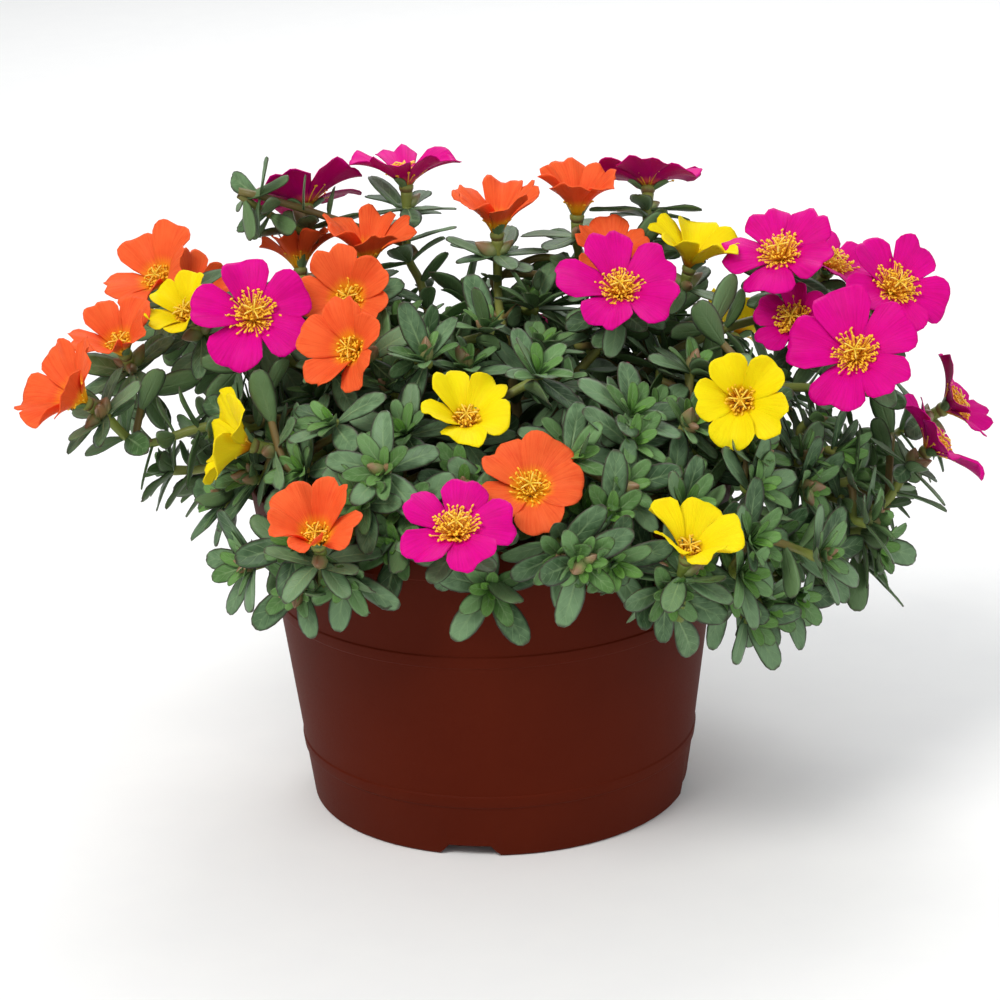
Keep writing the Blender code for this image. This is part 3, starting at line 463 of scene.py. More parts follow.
def view_ray(across, down):
    """The direction seen at a pixel of the view."""
    level = Vector((math.sin(VIEW_YAW), math.cos(VIEW_YAW), 0.0))
    ahead = level * math.cos(VIEW_PITCH) - Vector((0, 0, math.sin(VIEW_PITCH)))
    right = ahead.cross(Vector((0, 0, 1))).normalized()
    up = right.cross(ahead)
    rolled_right = right * math.cos(VIEW_ROLL) + up * math.sin(VIEW_ROLL)
    rolled_up = up * math.cos(VIEW_ROLL) - right * math.sin(VIEW_ROLL)
    x, y = (across - VIEW_CENTRE) / VIEW_FOCAL, (VIEW_CENTRE - down) / VIEW_FOCAL
    return ahead + rolled_right * x + rolled_up * y


def seen_at(across, down, depth):
    """The point seen at a pixel, at a depth behind the pot's axis."""
    eye = Vector((0, -VIEW_DISTANCE, VIEW_HEIGHT))
    ray = view_ray(across, down)
    return eye + ray * ((depth - eye.y) / ray.y)


def facing_vector(round_deg, up_deg):
    turn, rise = math.radians(round_deg), math.radians(up_deg)
    return Vector((math.sin(turn) * math.cos(rise), -math.cos(turn) * math.cos(rise), math.sin(rise)))


class Space:
    """What has been placed so far, with a test for what would cross it; a mesh is (points, faces)."""

    def __init__(self):
        self.items = []

    def entry(self, node, mesh):
        points, faces = mesh
        centre = sum(points, Vector()) / len(points)
        reach = max((p - centre).length for p in points)
        return node, BVHTree.FromPolygons([tuple(p) for p in points], faces), centre, reach

    def crosses(self, node, mesh, same_node=False):
        _, tree, centre, reach = self.entry(node, mesh)
        for other, other_tree, other_centre, other_reach in self.items:
            if (other == node) != same_node or (centre - other_centre).length > reach + other_reach:
                continue
            if tree.overlap(other_tree):
                return True
        return False

    def add(self, node, mesh):
        self.items.append(self.entry(node, mesh))


def plan_blooms(space):
    """Sets each bloom where it is seen, and moves it back along its line of sight off the others."""
    blooms = {}
    for index, (name, row) in enumerate(BLOOMS.items()):
        colour, across, down, depth, turn, rise, diameter, cup = row
        bloom = {"colour": colour, "facing": facing_vector(turn, rise), "diameter": diameter, "cup": cup}
        bloom["spin"] = index * GOLDEN_ANGLE
        for step in range(BLOOM_TRIES):
            bloom["heart"] = seen_at(across, down, depth + BLOOM_STEP * step)
            mesh = bloom_mesh(bloom, 1.04, PETAL_THICK + 2 * LEAF_CLEAR)
            if not space.crosses(name, mesh):
                break
        space.add(name, mesh)
        blooms[name] = bloom
    return blooms


def calyx_tip(bloom):
    return bloom["heart"] - bloom["facing"] * (CORE_DROP + SEAT_GAP)


def smooth_path(knots, count):
    """Points on a smooth curve through the knots."""
    ends = [knots[0] * 2 - knots[1]] + knots + [knots[-1] * 2 - knots[-2]]
    path = []
    spans = len(knots) - 1
    for k in range(count):
        place = spans * k / (count - 1)
        span = min(int(place), spans - 1)
        t = place - span
        a, b, c, d = ends[span : span + 4]
        bend, twist = 2 * a - 5 * b + 4 * c - d, 3 * b - a - 3 * c + d
        path.append(0.5 * (2 * b + (c - a) * t + bend * t * t + twist * t**3))
    return path


def over_rim(point):
    """The point, lifted where a stem would touch the pot's rim or its soil."""
    radius = math.hypot(point.x, point.y)
    lowest = 0.0
    if radius <= RIM_SPAN[0]:
        lowest = soil_height(point.x, point.y) + SOIL_PASS
    elif radius < RIM_SPAN[1]:
        lowest = RIM_PASS
    return Vector((point.x, point.y, max(point.z, lowest)))


def root_places(targets):
    """Root of each stem in the soil: part of the way out to its tips, and well apart from the others."""
    roots = {name: Vector((t.x, t.y)) * ROOT_SPREAD for name, t in targets.items()}
    for _ in range(ROOT_PASSES):
        for a in roots:
            for b in roots:
                if a >= b:
                    continue
                between = roots[b] - roots[a]
                short = ROOT_SPACING - between.length
                if short > 0:
                    push = (between.normalized() if between.length > 1e-6 else Vector((1, 0))) * (short / 2)
                    roots[a] = roots[a] - push
                    roots[b] = roots[b] + push
        for name, root in roots.items():
            if root.length > ROOT_LIMIT:
                roots[name] = root.normalized() * ROOT_LIMIT
    return roots


def route(start, start_way, end, end_way, rng, loose, arrival):
    """Knots from start to end that leave and arrive in the given directions and clear the pot."""
    span = (end - start).length
    sway = Vector((rng.uniform(-1, 1), rng.uniform(-1, 1), rng.uniform(-0.5, 1))) * loose
    middle = start.lerp(end, 0.5) + Vector((0, 0, ROUTE_RISE * span)) + sway
    knots = [start, start + start_way * (ROUTE_LEAVE * span), middle, end - end_way * (arrival * span), end]
    return [knots[0]] + [over_rim(k) for k in knots[1:-1]] + [knots[-1]]


def plan_shoot(space, node, start, start_way, end, end_way, count, sides, bloom, rng):
    """A stem or twig from start to end, swayed aside until it crosses no other node; None if it can't."""
    whorl = end - end_way * (NECK + WHORL_THICK if bloom else WHORL_THICK)
    thick = STEM_RADIUS if count == STEM_POINTS else TWIG_RADIUS
    radii = [thick + (TWIG_RADIUS - thick) * k / (count - 1) for k in range(count - 1)] + [WHORL_RADIUS]
    radii += [WHORL_RADIUS, CALYX_RADIUS] if bloom else [WHORL_RADIUS]
    if count != STEM_POINTS:
        radii[0] = TWIG_ROOT_RADIUS
    for attempt in range(SHOOT_TRIES):
        arrival = ARRIVALS[attempt % len(ARRIVALS)]
        knots = route(start, start_way, whorl, end_way, rng, SWAY * attempt, arrival)
        path = smooth_path(knots, count)
        path = [path[0]] + [over_rim(p) for p in path[1:-1]] + [path[-1]]
        path += [end - end_way * NECK, end] if bloom else [end]
        tested = path[:-1] + [path[-1].lerp(path[-2], 0.25)]
        mesh = tube_mesh(tested, [r + LEAF_CLEAR for r in radii], sides)
        if not space.crosses(node, mesh):
            space.add(node, mesh)
            return {"node": node, "path": path, "radii": radii, "sides": sides, "bloom": bloom}
    return None


def path_point(path, share):
    place = share * (len(path) - 1)
    k = min(int(place), len(path) - 2)
    return path[k].lerp(path[k + 1], place - k), (path[k + 1] - path[k]).normalized()


def plan_stems(space, blooms, rng):
    """The main stem of each node and the forks to its other blooms."""
    targets = {name: sum((blooms[b]["heart"] for b in carried), Vector()) / len(carried)
               for name, carried in STEMS.items()}
    targets.update({name: seen_at(*tip) for name, tip in LEAFY_STEMS.items()})
    roots = root_places(targets)
    shoots, starts = [], {}
    for name, flat in roots.items():
        ground = Vector((flat.x, flat.y, soil_height(flat.x, flat.y) + ROOT_LIFT))
        starts[name] = ground
        out = Vector((targets[name].x - flat.x, targets[name].y - flat.y, 0.0))
        way = (Vector((0, 0, 0.05)) + out * 0.35).normalized()
        carried = STEMS.get(name, ())
        end = calyx_tip(blooms[carried[0]]) if carried else targets[name]
        end_way = blooms[carried[0]]["facing"] if carried else Vector((out.x, out.y, -0.02)).normalized()
        main = plan_shoot(space, name, ground, way, end, end_way, STEM_POINTS, STEM_SIDES, bool(carried), rng)
        main["path"].insert(0, Vector((flat.x, flat.y, SOIL_EDGE_HEIGHT - HOLE_DEPTH + 0.001)))
        main["radii"].insert(0, STEM_RADIUS)
        shoots.append(main)
        for bloom in carried[1:]:
            end, way = calyx_tip(blooms[bloom]), blooms[bloom]["facing"]
            for share in FORKS_AT:
                fork, fork_way = path_point(main["path"], share)
                twig = plan_shoot(space, name, fork, fork_way, end, way, FORK_POINTS, TWIG_SIDES, True, rng)
                if twig:
                    shoots.append(twig)
                    break
            else:
                raise ValueError(f"no way for {name} to {bloom}")
    return shoots, starts


def mound_tip(index):
    """A leafy tip's place on the mound and its direction, by the golden angle, which spreads them evenly."""
    share = math.sqrt((index + 0.6) / MOUND_TIPS)
    turn = index * GOLDEN_ANGLE
    x, y = math.sin(turn), -math.cos(turn)
    across, across_edge = MOUND_LEFT if x < 0 else MOUND_RIGHT
    deep, deep_edge = MOUND_FRONT if y < 0 else MOUND_BACK
    reach = share / math.hypot(x / across, y / deep)
    edge = across_edge * x * x + deep_edge * y * y
    place = Vector((x * reach, y * reach, MOUND_TOP - (MOUND_TOP - edge) * share**2.6))
    return place, Vector((x * share, y * share, 1.1 - 0.9 * share**2)).normalized()


def near_stems(shoots, place, way, points, least, ahead):
    """(distance, shoot, point) of the nearest places on stems that a twig may leave for a leafy tip."""
    choices = []
    for order, shoot in enumerate(shoots):
        for k in range(points[0], len(shoot["path"]) - points[1]):
            gap = place - shoot["path"][k]
            if gap.length > least and gap.dot(way) > ahead * gap.length:
                choices.append((gap.length, order, k))
    return sorted(choices)[:TIP_CHOICES]


def plan_twig(space, shoots, choices, place, way, count, rng):
    """A twig to a leafy tip from the first chosen place that it can leave; None if there is none."""
    for _, order, k in choices:
        start, node = shoots[order]["path"][k], shoots[order]["node"]
        leave = (place - start).normalized()
        twig = plan_shoot(space, node, start, leave, place, way, count, TIP_SIDES, False, rng)
        if twig:
            return twig
    return None


def plan_tips(space, shoots, rng):
    """Leafy side twigs that fill the mound, each from the nearest stem below it."""
    made = []
    for index in range(MOUND_TIPS):
        place, way = mound_tip(index)
        count = LONG_TIP_POINTS if math.hypot(place.x, place.y) > LONG_TIP_FROM else SHORT_TIP_POINTS
        choices = near_stems(shoots, place, way, (3, 2), TIP_LEAST, TIP_AHEAD)
        twig = plan_twig(space, shoots, choices, place, way, count, rng)
        if twig:
            made.append(twig)
    return made


def leaf_row(base, ahead, axis, length, arch, cup):
    """A leaf's place, directions, size and bends."""
    up = (axis - ahead * axis.dot(ahead)).normalized()
    width = length * LEAF_WIDTH / LEAF_LENGTH
    return dict(base=base, ahead=ahead, up=up, length=length, width=width, arch=arch, cup=cup)


def place_leaf(space, node, centre, axis, out, lean, length, rng):
    """A leaf of a whorl, turned and leaned until it crosses nothing; None if it can't."""
    for attempt in range(LEAF_TRIES):
        aside = axis.cross(out) * rng.uniform(-0.11, 0.11)
        tilt = lean + rng.uniform(-0.05, 0.05) * attempt
        ahead = (axis * math.cos(tilt) + (out + aside) * math.sin(tilt)).normalized()
        size = length * (1 - LEAF_SHRINK * attempt)
        leaf = leaf_row(centre, ahead, axis, size, rng.uniform(*LEAF_ARCH), rng.uniform(*LEAF_CUP))
        if space.crosses(node, leaf_mesh(leaf, LEAF_CLEAR)):
            continue
        outer = dict(leaf, base=centre + ahead * (LEAF_INNER * size), length=(1 - LEAF_INNER) * size)
        if not space.crosses(node, leaf_mesh(outer, LEAF_CLEAR), same_node=True):
            return leaf
    return None


def plan_whorls(space, shoots, rng):
    """A whorl of leaves at each leafy tip and under each bloom, and a bud in some of them."""
    buds = []
    for number, shoot in enumerate(shoots):
        path, node, sides = shoot["path"], shoot["node"], shoot["sides"]
        ring = len(path) - (3 if shoot["bloom"] else 2)
        _, side, up = ring_frames(path)[ring]
        centre, axis = (path[ring] + path[ring + 1]) / 2, (path[-1] - path[ring]).normalized()
        lean, size = (COLLAR_LEAN, LEAF_LENGTH * COLLAR_SIZE) if shoot["bloom"] else (TIP_LEAN, LEAF_LENGTH)
        shoot["leaves"] = []
        for k in range(sides):
            turn = 2 * math.pi * (k + 0.5) / sides
            out = spoke(side, up, turn)
            tilt, length = math.radians(rng.uniform(*lean)), size * rng.uniform(*WHORL_SIZES)
            leaf = place_leaf(space, node, centre, axis, out, tilt, length, rng)
            if leaf:
                shoot["leaves"].append(leaf)
                space.add(node, leaf_mesh(leaf, LEAF_CLEAR))
        if number % BUD_EVERY == 0:
            out = side if shoot["bloom"] else side * 0.3
            bud = plan_bud(space, node, centre, (axis + out * 0.9).normalized())
            if bud:
                buds.append(bud)
    return buds


def plan_bud(space, node, centre, ahead):
    """A bud at a whorl; None if it would cross another node."""
    bud = {"node": node, "base": centre, "ahead": ahead, "length": BUD_LENGTH, "radius": BUD_RADIUS}
    larger = dict(bud, radius=BUD_RADIUS + LEAF_CLEAR, length=BUD_LENGTH + LEAF_CLEAR)
    if space.crosses(node, bud_mesh(larger)):
        return None
    space.add(node, bud_mesh(larger))
    return bud


def plan_plant():
    """Every bloom, root, shoot with its whorl of leaves, and bud, none of them crossing another node."""
    space = Space()
    rng = random.Random(SEED)
    space.add("pot", turned_mesh(pot_profile(), POT_SIDES))
    blooms = plan_blooms(space)
    shoots, roots = plan_stems(space, blooms, rng)
    shoots += plan_tips(space, shoots, rng)
    buds = plan_whorls(space, shoots, rng)
    return blooms, roots, shoots, buds


# Measures of the finer forms

FINE_POT_SIDES = 192
FILLET_POINTS = 4
FILLET_SHARE = 0.42  # of the profile's edges, at most, goes into a fillet
POT_FILLET = 0.0007
POT_SHARP = math.radians(34)
SOIL_ROUND = 120
SOIL_ACROSS = 34
SOIL_GRAIN = 0.0011
ROUGH_WAVES = 5
ROUGH_PITCH = 210.0  # of the longest wave, in radians to the metre
SOIL_CRUMBS = 420
CRUMB_SIZE = (0.0008, 0.0024)
CRUMB_WIDTHS = (0.22, 0.5, 0.46, 0.16)  # radii from end to end, as shares of the crumb's length

STEM_ROUND = 9
STEM_STEPS = 5  # rings of a fine stem between two points of its path
LEAF_FLESH = 0.0011
LEAF_GROOVE = 0.00022
LEAF_WAVE = (0.0, 0.14)  # of its edges, as a share of its half width
LEAF_SWING = (-0.09, 0.09)  # of its tip to the side, as a share of its length
LEAF_ROWS = (0.0, 0.08, 0.20, 0.36, 0.53, 0.70, 0.84, 0.94, 0.99)
# Round a leaf's section: place across from -1 to 1, and side, 1 for the top and -1 for underneath
LEAF_RING = (
    (-1.0, 0), (-0.62, 1), (-0.16, 1), (0.16, 1), (0.62, 1), (1.0, 0), (0.62, -1), (0.0, -1), (-0.62, -1),
)
# The tiers of leaves along a shoot
TIER_SPACING = 0.0085
TIER_STEPS = 40
TIER_ABOVE_SOIL = 0.010
TIER_LEAVES = 3
TIER_TURN = 1.05  # from each tier to the next, in radians
TIER_LEAN = (52, 84)
TIER_SIZES = (0.72, 1.04)
TIER_YOUTH = (0.0, 0.25)
# The further tips over the rim: how many, and their distance from the axis, height and direction in turn
RIM_TIPS = 34
RIM_TIP_STAGGER = 0.37
RIM_TIP_REACH = (0.090, 0.104, 0.096)
RIM_TIP_HEIGHT = (0.152, 0.160, 0.149, 0.156)
RIM_TIP_RISE = 0.55
# The further tips inside the mound, between its own and a little deeper
INNER_TIPS = 46
INNER_STEP = 0.5
INNER_SHARE = 0.90
INNER_DROP = 0.010
EXTRA_LEAST = 0.010  # the shortest of the further twigs
EXTRA_LEAVES = 5
EXTRA_SIZES = (0.84, 1.05)
# The further tips on the right: which of the mound's tips they lie between, and the side where they start
OUTER_TIPS = (16, 44)
OUTER_STEPS = (0.2, 0.7)
OUTER_FROM = 0.030
# Leafy tips read off the photograph: its x and y in pixels, and how far behind the middle they are.
HANGING_TIPS = (
    (728, 590, -0.078), (762, 602, -0.068), (792, 594, -0.056), (748, 618, -0.074), (816, 556, -0.046),
    (872, 545, -0.020), (668, 590, -0.108), (612, 562, -0.112), (560, 556, -0.115), (300, 586, -0.094),
    (346, 576, -0.104), (802, 486, -0.048), (764, 540, -0.070), (842, 500, -0.030), (720, 540, -0.086),
    (690, 560, -0.096), (776, 570, -0.062), (836, 452, -0.030),
)
HANGING_WAY = (-0.55, -0.10)  # how much a hanging tip turns to the front, and up
CLEAR_SHARE = 0.92  # of a bloom's radius: leaves seen in front of this much of its face would cover it
CLEAR_BEHIND = 0.060  # blooms further back than this stand above the leaves
CLEAR_AHEAD = 1.0015  # how many times as far as a leaf a face must be to be covered by it
CLEAR_POINTS = (0.15, 0.55, 0.95)  # shares of a leaf's length that are tried
CLEAR_LIFT = 0.3  # of a bloom's radius: how far its face lies before its heart
TIP_LENGTH = 0.5 * LEAF_LENGTH
FORK_REACH = 0.003  # a shoot that starts this near to another one's path forks off it
# The young leaves in a tip, in three tiers: size, number, distance below the tip and youth of each tier
HEART_LEAN = (14, 46)  # angle from the twig in degrees, of the innermost and the outermost
HEART_SIZES = (0.66, 0.50, 0.36)
HEART_COUNTS = (4, 4, 2)
HEART_DROP = (0.0012, 0.0006, 0.0)
HEART_YOUTH = (0.35, 0.65, 0.95)
HEART_ARCH = (-0.3, -0.1)
HEART_CUP = (0.15, 0.4)

PETAL_ROWS = 15
PETAL_COLUMNS = 15
PETAL_SPREAD = {"magenta": 41.5, "orange": 44.5, "yellow": 44.5}  # half the degrees that a petal takes
PETAL_SHOULDER = {"magenta": 0.44, "orange": 0.55, "yellow": 0.55}  # its length at its sides, as a share
PETAL_SHEET = 0.00036
PETAL_NOTCH = 0.085  # in the middle of the tip, as a share of the length
PETAL_NOTCHES = (0.4, 1.4)
PETAL_LENGTHS = (0.90, 1.05)
PETAL_WIDTHS = (0.92, 1.06)
PETAL_TILT = (-0.15, 0.09)  # how much a petal's end leans in
# Bends of a petal, as shares of its length: slow and quick waves, a fold along its middle, and raised sides
RUFFLE = 0.098
FRILL = 0.028
CREASE = 0.030
CRADLE = 0.085
CRADLES = (-0.3, 1.2)
STAMENS = {"magenta": 104, "orange": 60, "yellow": 30}
STAMEN_LENGTH = {"magenta": 0.0084, "orange": 0.0068, "yellow": 0.0060}
STAMEN_LENGTHS = (0.72, 1.1)
STAMEN_RADIUS = 0.00028
STAMEN_WIDTHS = (1.2, 1.0, 1.0, 0.8)  # from foot to tip, as shares of the radius
ANTHER_LENGTH = 0.0015
ANTHER_RADIUS = 0.00045
ANTHER_WIDTHS = (0.3, 1.0, 1.0, 0.3)
STAMEN_LEAN = (72.0, 1.15, 14.0)  # widest for a flat bloom, less this much for each degree of cup, and least
HEART_RADIUS = 0.0034
HEART_DOME = ((0.0, 1.0), (0.35, 0.9), (0.7, 0.66), (1.0, 0.25))  # height and width of the heart's rings
STYLE_RADII = (0.0005, 0.0004, 0.0004)
STYLE_ARMS = {"magenta": 5, "orange": 5, "yellow": 6}
STYLE_ARM_LENGTH = 0.0046
STYLE_ARM_RADII = (0.00032, 0.00034, 0.00034, 0.00024)
CALYX_RADII = (0.0024, 0.0030, 0.0031, 0.0024)
SEPALS = 2
SEPAL_LENGTH = 0.0088
SEPAL_WIDTH = 0.86  # as a share of the length
# Numbers to choose from, and the angles from the stem in radians, of buds under a bloom and at a tip
NECK_BUDS = ((1, 2, 3), (0.75, 1.15))
TIP_BUDS = ((2, 3, 4), (0.15, 0.75))
TIP_BUD_SHARE = 0.35  # of the leafy tips have buds
BUD_SIZES = (0.62, 1.0)
BUD_PLUMP = 0.25  # radius, as a share of the length
BUD_SIDES = 8
BUD_ROWS = (0.0, 0.06, 0.18, 0.36, 0.55, 0.74, 0.88, 0.97)

# Colours, as red, green and blue of the light that they send back; a pair holds the two ends of a range
LEAF_TOP = (0.150, 0.262, 0.124)
LEAF_DEEP = (0.022, 0.066, 0.018)
LEAF_YOUNG = (0.120, 0.290, 0.036)
LEAF_UNDER = (0.110, 0.190, 0.070)
LEAF_RIB = (0.280, 0.420, 0.190)
LEAF_RIM = (0.036, 0.014, 0.012)
STEM_GREENS = ((0.150, 0.200, 0.035), (0.270, 0.290, 0.065))
STEM_RIPE = (0.160, 0.070, 0.040)
BUD_GREENS = ((0.150, 0.220, 0.060), (0.330, 0.380, 0.150))
BUD_BLUSH = (0.260, 0.110, 0.065)
BUD_SEAM = (0.110, 0.090, 0.035)
# under: the colour of a petal's underside, darker than its main colour, which is painted shade on the
# undersides
PETAL_COLOURS = {
    "magenta": {"main": (0.700, 0.000, 0.255), "deep": (0.460, 0.000, 0.140), "eye": (0.900, 0.120, 0.100),
                "under": (0.400, 0.001, 0.150), "reach": 0.15},
    "orange": {"main": (0.880, 0.135, 0.034), "deep": (0.700, 0.045, 0.010), "eye": (0.930, 0.400, 0.006),
               "under": (0.850, 0.090, 0.022), "reach": 0.36},
    "yellow": {"main": (0.900, 0.720, 0.004), "deep": (0.820, 0.560, 0.003), "eye": (0.560, 0.150, 0.004),
               "under": (0.860, 0.660, 0.012), "reach": 0.22},
}
# Of the filaments, anthers and style: colour at the foot and at the tip
STAMEN_COLOURS = {
    "filament_magenta": ((1.000, 0.520, 0.020), (1.000, 0.560, 0.060)),
    "filament_orange": ((1.000, 0.560, 0.010), (1.000, 0.640, 0.030)),
    "filament_yellow": ((0.700, 0.260, 0.010), (0.930, 0.620, 0.040)),
    "anther": ((1.000, 0.600, 0.020), (1.000, 0.600, 0.020)),
    "style": ((0.930, 0.640, 0.050), (0.950, 0.720, 0.120)),
}
STAMEN_GRAIN = (0.900, 0.300, 0.010)
POT_BROWNS = ((0.072, 0.0064, 0.0008), (0.094, 0.0098, 0.0016))
POT_DUST = (0.110, 0.055, 0.034)
SOIL_DARKS = ((0.006, 0.004, 0.003), (0.045, 0.026, 0.016))
SOIL_FIBRE = (0.060, 0.040, 0.026)
FLOOR_WHITES = ((0.90, 0.90, 0.90), (0.93, 0.93, 0.92))

# Studio
SENSOR_WIDTH = 36.0  # of the camera, in millimetres
CLIP_END = 20.0
FLOOR_SIZE = 6.0
LIGHTS = {
    # name: place, what it points at, size, power in watts, colour
    "key": ((-0.9, -1.1, 1.8), (0.0, 0.0, 0.16), 0.9, 30.0, (1.0, 0.98, 0.95)),
    "fill": ((1.5, -1.1, 1.0), (0.0, 0.0, 0.14), 1.4, 9.0, (0.96, 0.98, 1.0)),
    "back": ((0.3, 1.5, 1.6), (0.0, 0.0, 0.18), 1.2, 20.0, (1.0, 1.0, 1.0)),
}
SKY = ((0.96, 0.98, 1.0), 0.52)  # colour and strength


class Piece:
    """Gathers the points, faces and shading marks of one piece, and then makes its object.

    The mark called spot is (place along, place across, tone) and the one called trait is (side, youth, 0).
    """

    def __init__(self, name):
        self.name = name
        self.points, self.spots, self.traits = [], [], []
        self.faces, self.slots = [], []
        self.count = 0

    def add(self, points, faces, slot, spots, traits):
        number = len(points)
        self.points.append(np.asarray(points, float))
        self.spots.append(np.broadcast_to(np.asarray(spots, float), (number, 3)))
        self.traits.append(np.broadcast_to(np.asarray(traits, float), (number, 3)))
        self.faces += [[k + self.count for k in face] for face in faces]
        self.slots += [slot] * len(faces)
        self.count += number

    def make(self, materials):
        mesh = bpy.data.meshes.new(self.name)
        mesh.from_pydata(np.concatenate(self.points).tolist(), [], self.faces)
        for finish in materials:
            mesh.materials.append(finish)
        mesh.polygons.foreach_set("material_index", self.slots)
        for label, rows in (("spot", self.spots), ("trait", self.traits)):
            mark = mesh.attributes.new(label, "FLOAT_VECTOR", "POINT")
            mark.data.foreach_set("vector", np.concatenate(rows).ravel())
        work = bmesh.new()
        work.from_mesh(mesh)
        bmesh.ops.recalc_face_normals(work, faces=work.faces)
        work.to_mesh(mesh)
        work.free()
        mesh.shade_smooth()
        obj = bpy.data.objects.new(self.name, mesh)
        bpy.context.scene.collection.objects.link(obj)
        return obj


def add_tube(piece, path, radii, sides, slot, tone):
    """A round tube along a path; its mark along goes from 0 at its foot to 1 at its end."""
    turns = np.arange(sides) * 2 * math.pi / sides
    points, spots = [], []
    for k, ((centre, side, up), radius) in enumerate(zip(ring_frames(path), radii)):
        round_it = np.outer(np.cos(turns), side) + np.outer(np.sin(turns), up)
        points.append(np.array(centre) + round_it * radius)
        spots.append(np.broadcast_to((k / (len(path) - 1), 0.0, tone), (sides, 3)))
    faces = loft_faces(len(path), sides)
    piece.add(np.concatenate(points), faces, slot, np.concatenate(spots), (1.0, 0.0, 0.0))


# Leaves, buds and stems


def leaf_half_width(along):
    """Half width of a leaf, as a share of its greatest: a short stalk, then widest past the middle."""
    body = 1.76 * along**0.78 * (1.0 - along) ** 0.48
    return np.maximum(body, 0.16 * (1.0 - along))


def add_fine_leaf(piece, leaf, slot, tone, youth=0.0):
    """A fleshy leaf with a groove along its middle, in the place and form of a planned one."""
    along = np.array(LEAF_ROWS)[:, None]
    across, side = (np.array(column)[None, :] for column in zip(*LEAF_RING))
    half = leaf["width"] / 2 * leaf_half_width(along)
    flesh = LEAF_FLESH * (1.15 - 0.55 * along) * np.minimum(1.0, leaf["length"] / LEAF_LENGTH + 0.2)
    groove = np.where((side > 0) & (abs(across) < 0.3), LEAF_GROOVE, 0.0)
    wave = leaf["wave"] * half * np.sin(7.0 * along + 2.0 * across + 9.0 * tone) * abs(across)
    lift = leaf["arch"] * leaf["length"] * along**2 + leaf["cup"] * abs(across) ** 1.5 * half
    lift = lift + side * flesh / 2 * np.sqrt(1.0 - 0.85 * across**2) - groove + wave
    ahead, up = np.array(leaf["ahead"]), np.array(leaf["up"])
    sideways = np.cross(ahead, up)
    swing = leaf["swing"] * leaf["length"] * along**2
    points = np.array(leaf["base"]) + (along * leaf["length"])[..., None] * ahead
    points = points + (across * half + swing)[..., None] * sideways + lift[..., None] * up
    rings, ring = points.shape[:2]
    spots = np.stack(np.broadcast_arrays(along, across, tone), axis=-1)
    traits = np.stack(np.broadcast_arrays(0.5 + side / 2, youth + 0 * along, 0.0), axis=-1)
    flat = [rows.reshape(-1, 3) for rows in (points, spots, traits)]
    piece.add(flat[0], loft_faces(rings, ring), slot, *flat[1:])


def dress_leaf(leaf, rng):
    """Adds to a planned leaf the small bends that only the finer form has."""
    return dict(leaf, wave=rng.uniform(*LEAF_WAVE), swing=rng.uniform(*LEAF_SWING))


def add_fine_bud(piece, bud, slot, tone):
    """A pointed bud of folded sepals, a little oval across."""
    side, up = frame_of(bud["ahead"])
    turns = np.arange(BUD_SIDES) * 2 * math.pi / BUD_SIDES
    points, spots = [], []
    for row in BUD_ROWS:
        swell = math.sin(math.pi * row**0.72) ** 0.85 + 0.22 * (1 - row)
        radius = bud["radius"] * swell * (1.0 + 0.10 * np.cos(2 * turns + 4 * tone))
        ring = np.outer(np.cos(turns) * radius, side) + np.outer(np.sin(turns) * radius, up)
        points.append(np.array(bud["base"]) + np.array(bud["ahead"]) * (row * bud["length"]) + ring)
        spots.append(np.stack([np.full(BUD_SIDES, row), np.cos(turns), np.full(BUD_SIDES, tone)], axis=-1))
    faces = loft_faces(len(BUD_ROWS), BUD_SIDES)
    piece.add(np.concatenate(points), faces, slot, np.concatenate(spots), (1.0, 0.0, 0.0))


def fine_path(shoot):
    """The path and radii of a shoot with more rings, on a smooth curve through its own points."""
    path, radii = shoot["path"], shoot["radii"]
    count = (len(path) - 1) * STEM_STEPS + 1
    spread = np.interp(np.linspace(0, len(radii) - 1, count), np.arange(len(radii)), radii)
    return smooth_path(path, count), spread


# The plan of what only the finer form has: more leaves and buds, kept clear of the rest


def collar(axis, count, start):
    """Directions square to an axis, evenly round it."""
    side, up = frame_of(axis)
    turns = [start + 2 * math.pi * k / count for k in range(count)]
    return [spoke(side, up, turn) for turn in turns]


def try_leaf(space, node, centre, axis, out, lean, length, rng):
    """A further leaf where there is room, kept in mind for what comes after it; None if there is none."""
    leaf = place_leaf(space, node, centre, axis, out, math.radians(rng.uniform(*lean)), length, rng)
    if leaf:
        space.add(node, leaf_mesh(leaf, LEAF_CLEAR))
    return leaf


def plan_heart(space, shoot, rng):
    """The smaller, younger leaves inside a whorl at a leafy tip."""
    path, node = shoot["path"], shoot["node"]
    axis = (path[-1] - path[-2]).normalized()
    leaves = []
    for tier, size in enumerate(HEART_SIZES):
        centre = path[-1] - axis * HEART_DROP[tier]
        lean = HEART_LEAN[1] - (HEART_LEAN[1] - HEART_LEAN[0]) * tier / (len(HEART_SIZES) - 1)
        for out in collar(axis, HEART_COUNTS[tier], 0.6 + 0.8 * tier):
            tilt = math.radians(lean + rng.uniform(-6, 6))
            ahead = (axis * math.cos(tilt) + out * math.sin(tilt)).normalized()
            length = LEAF_LENGTH * size * rng.uniform(0.9, 1.1)
            leaf = leaf_row(centre, ahead, axis, length, rng.uniform(*HEART_ARCH), rng.uniform(*HEART_CUP))
            if not space.crosses(node, leaf_mesh(leaf)):
                leaves.append((leaf, HEART_YOUTH[tier]))
    return leaves


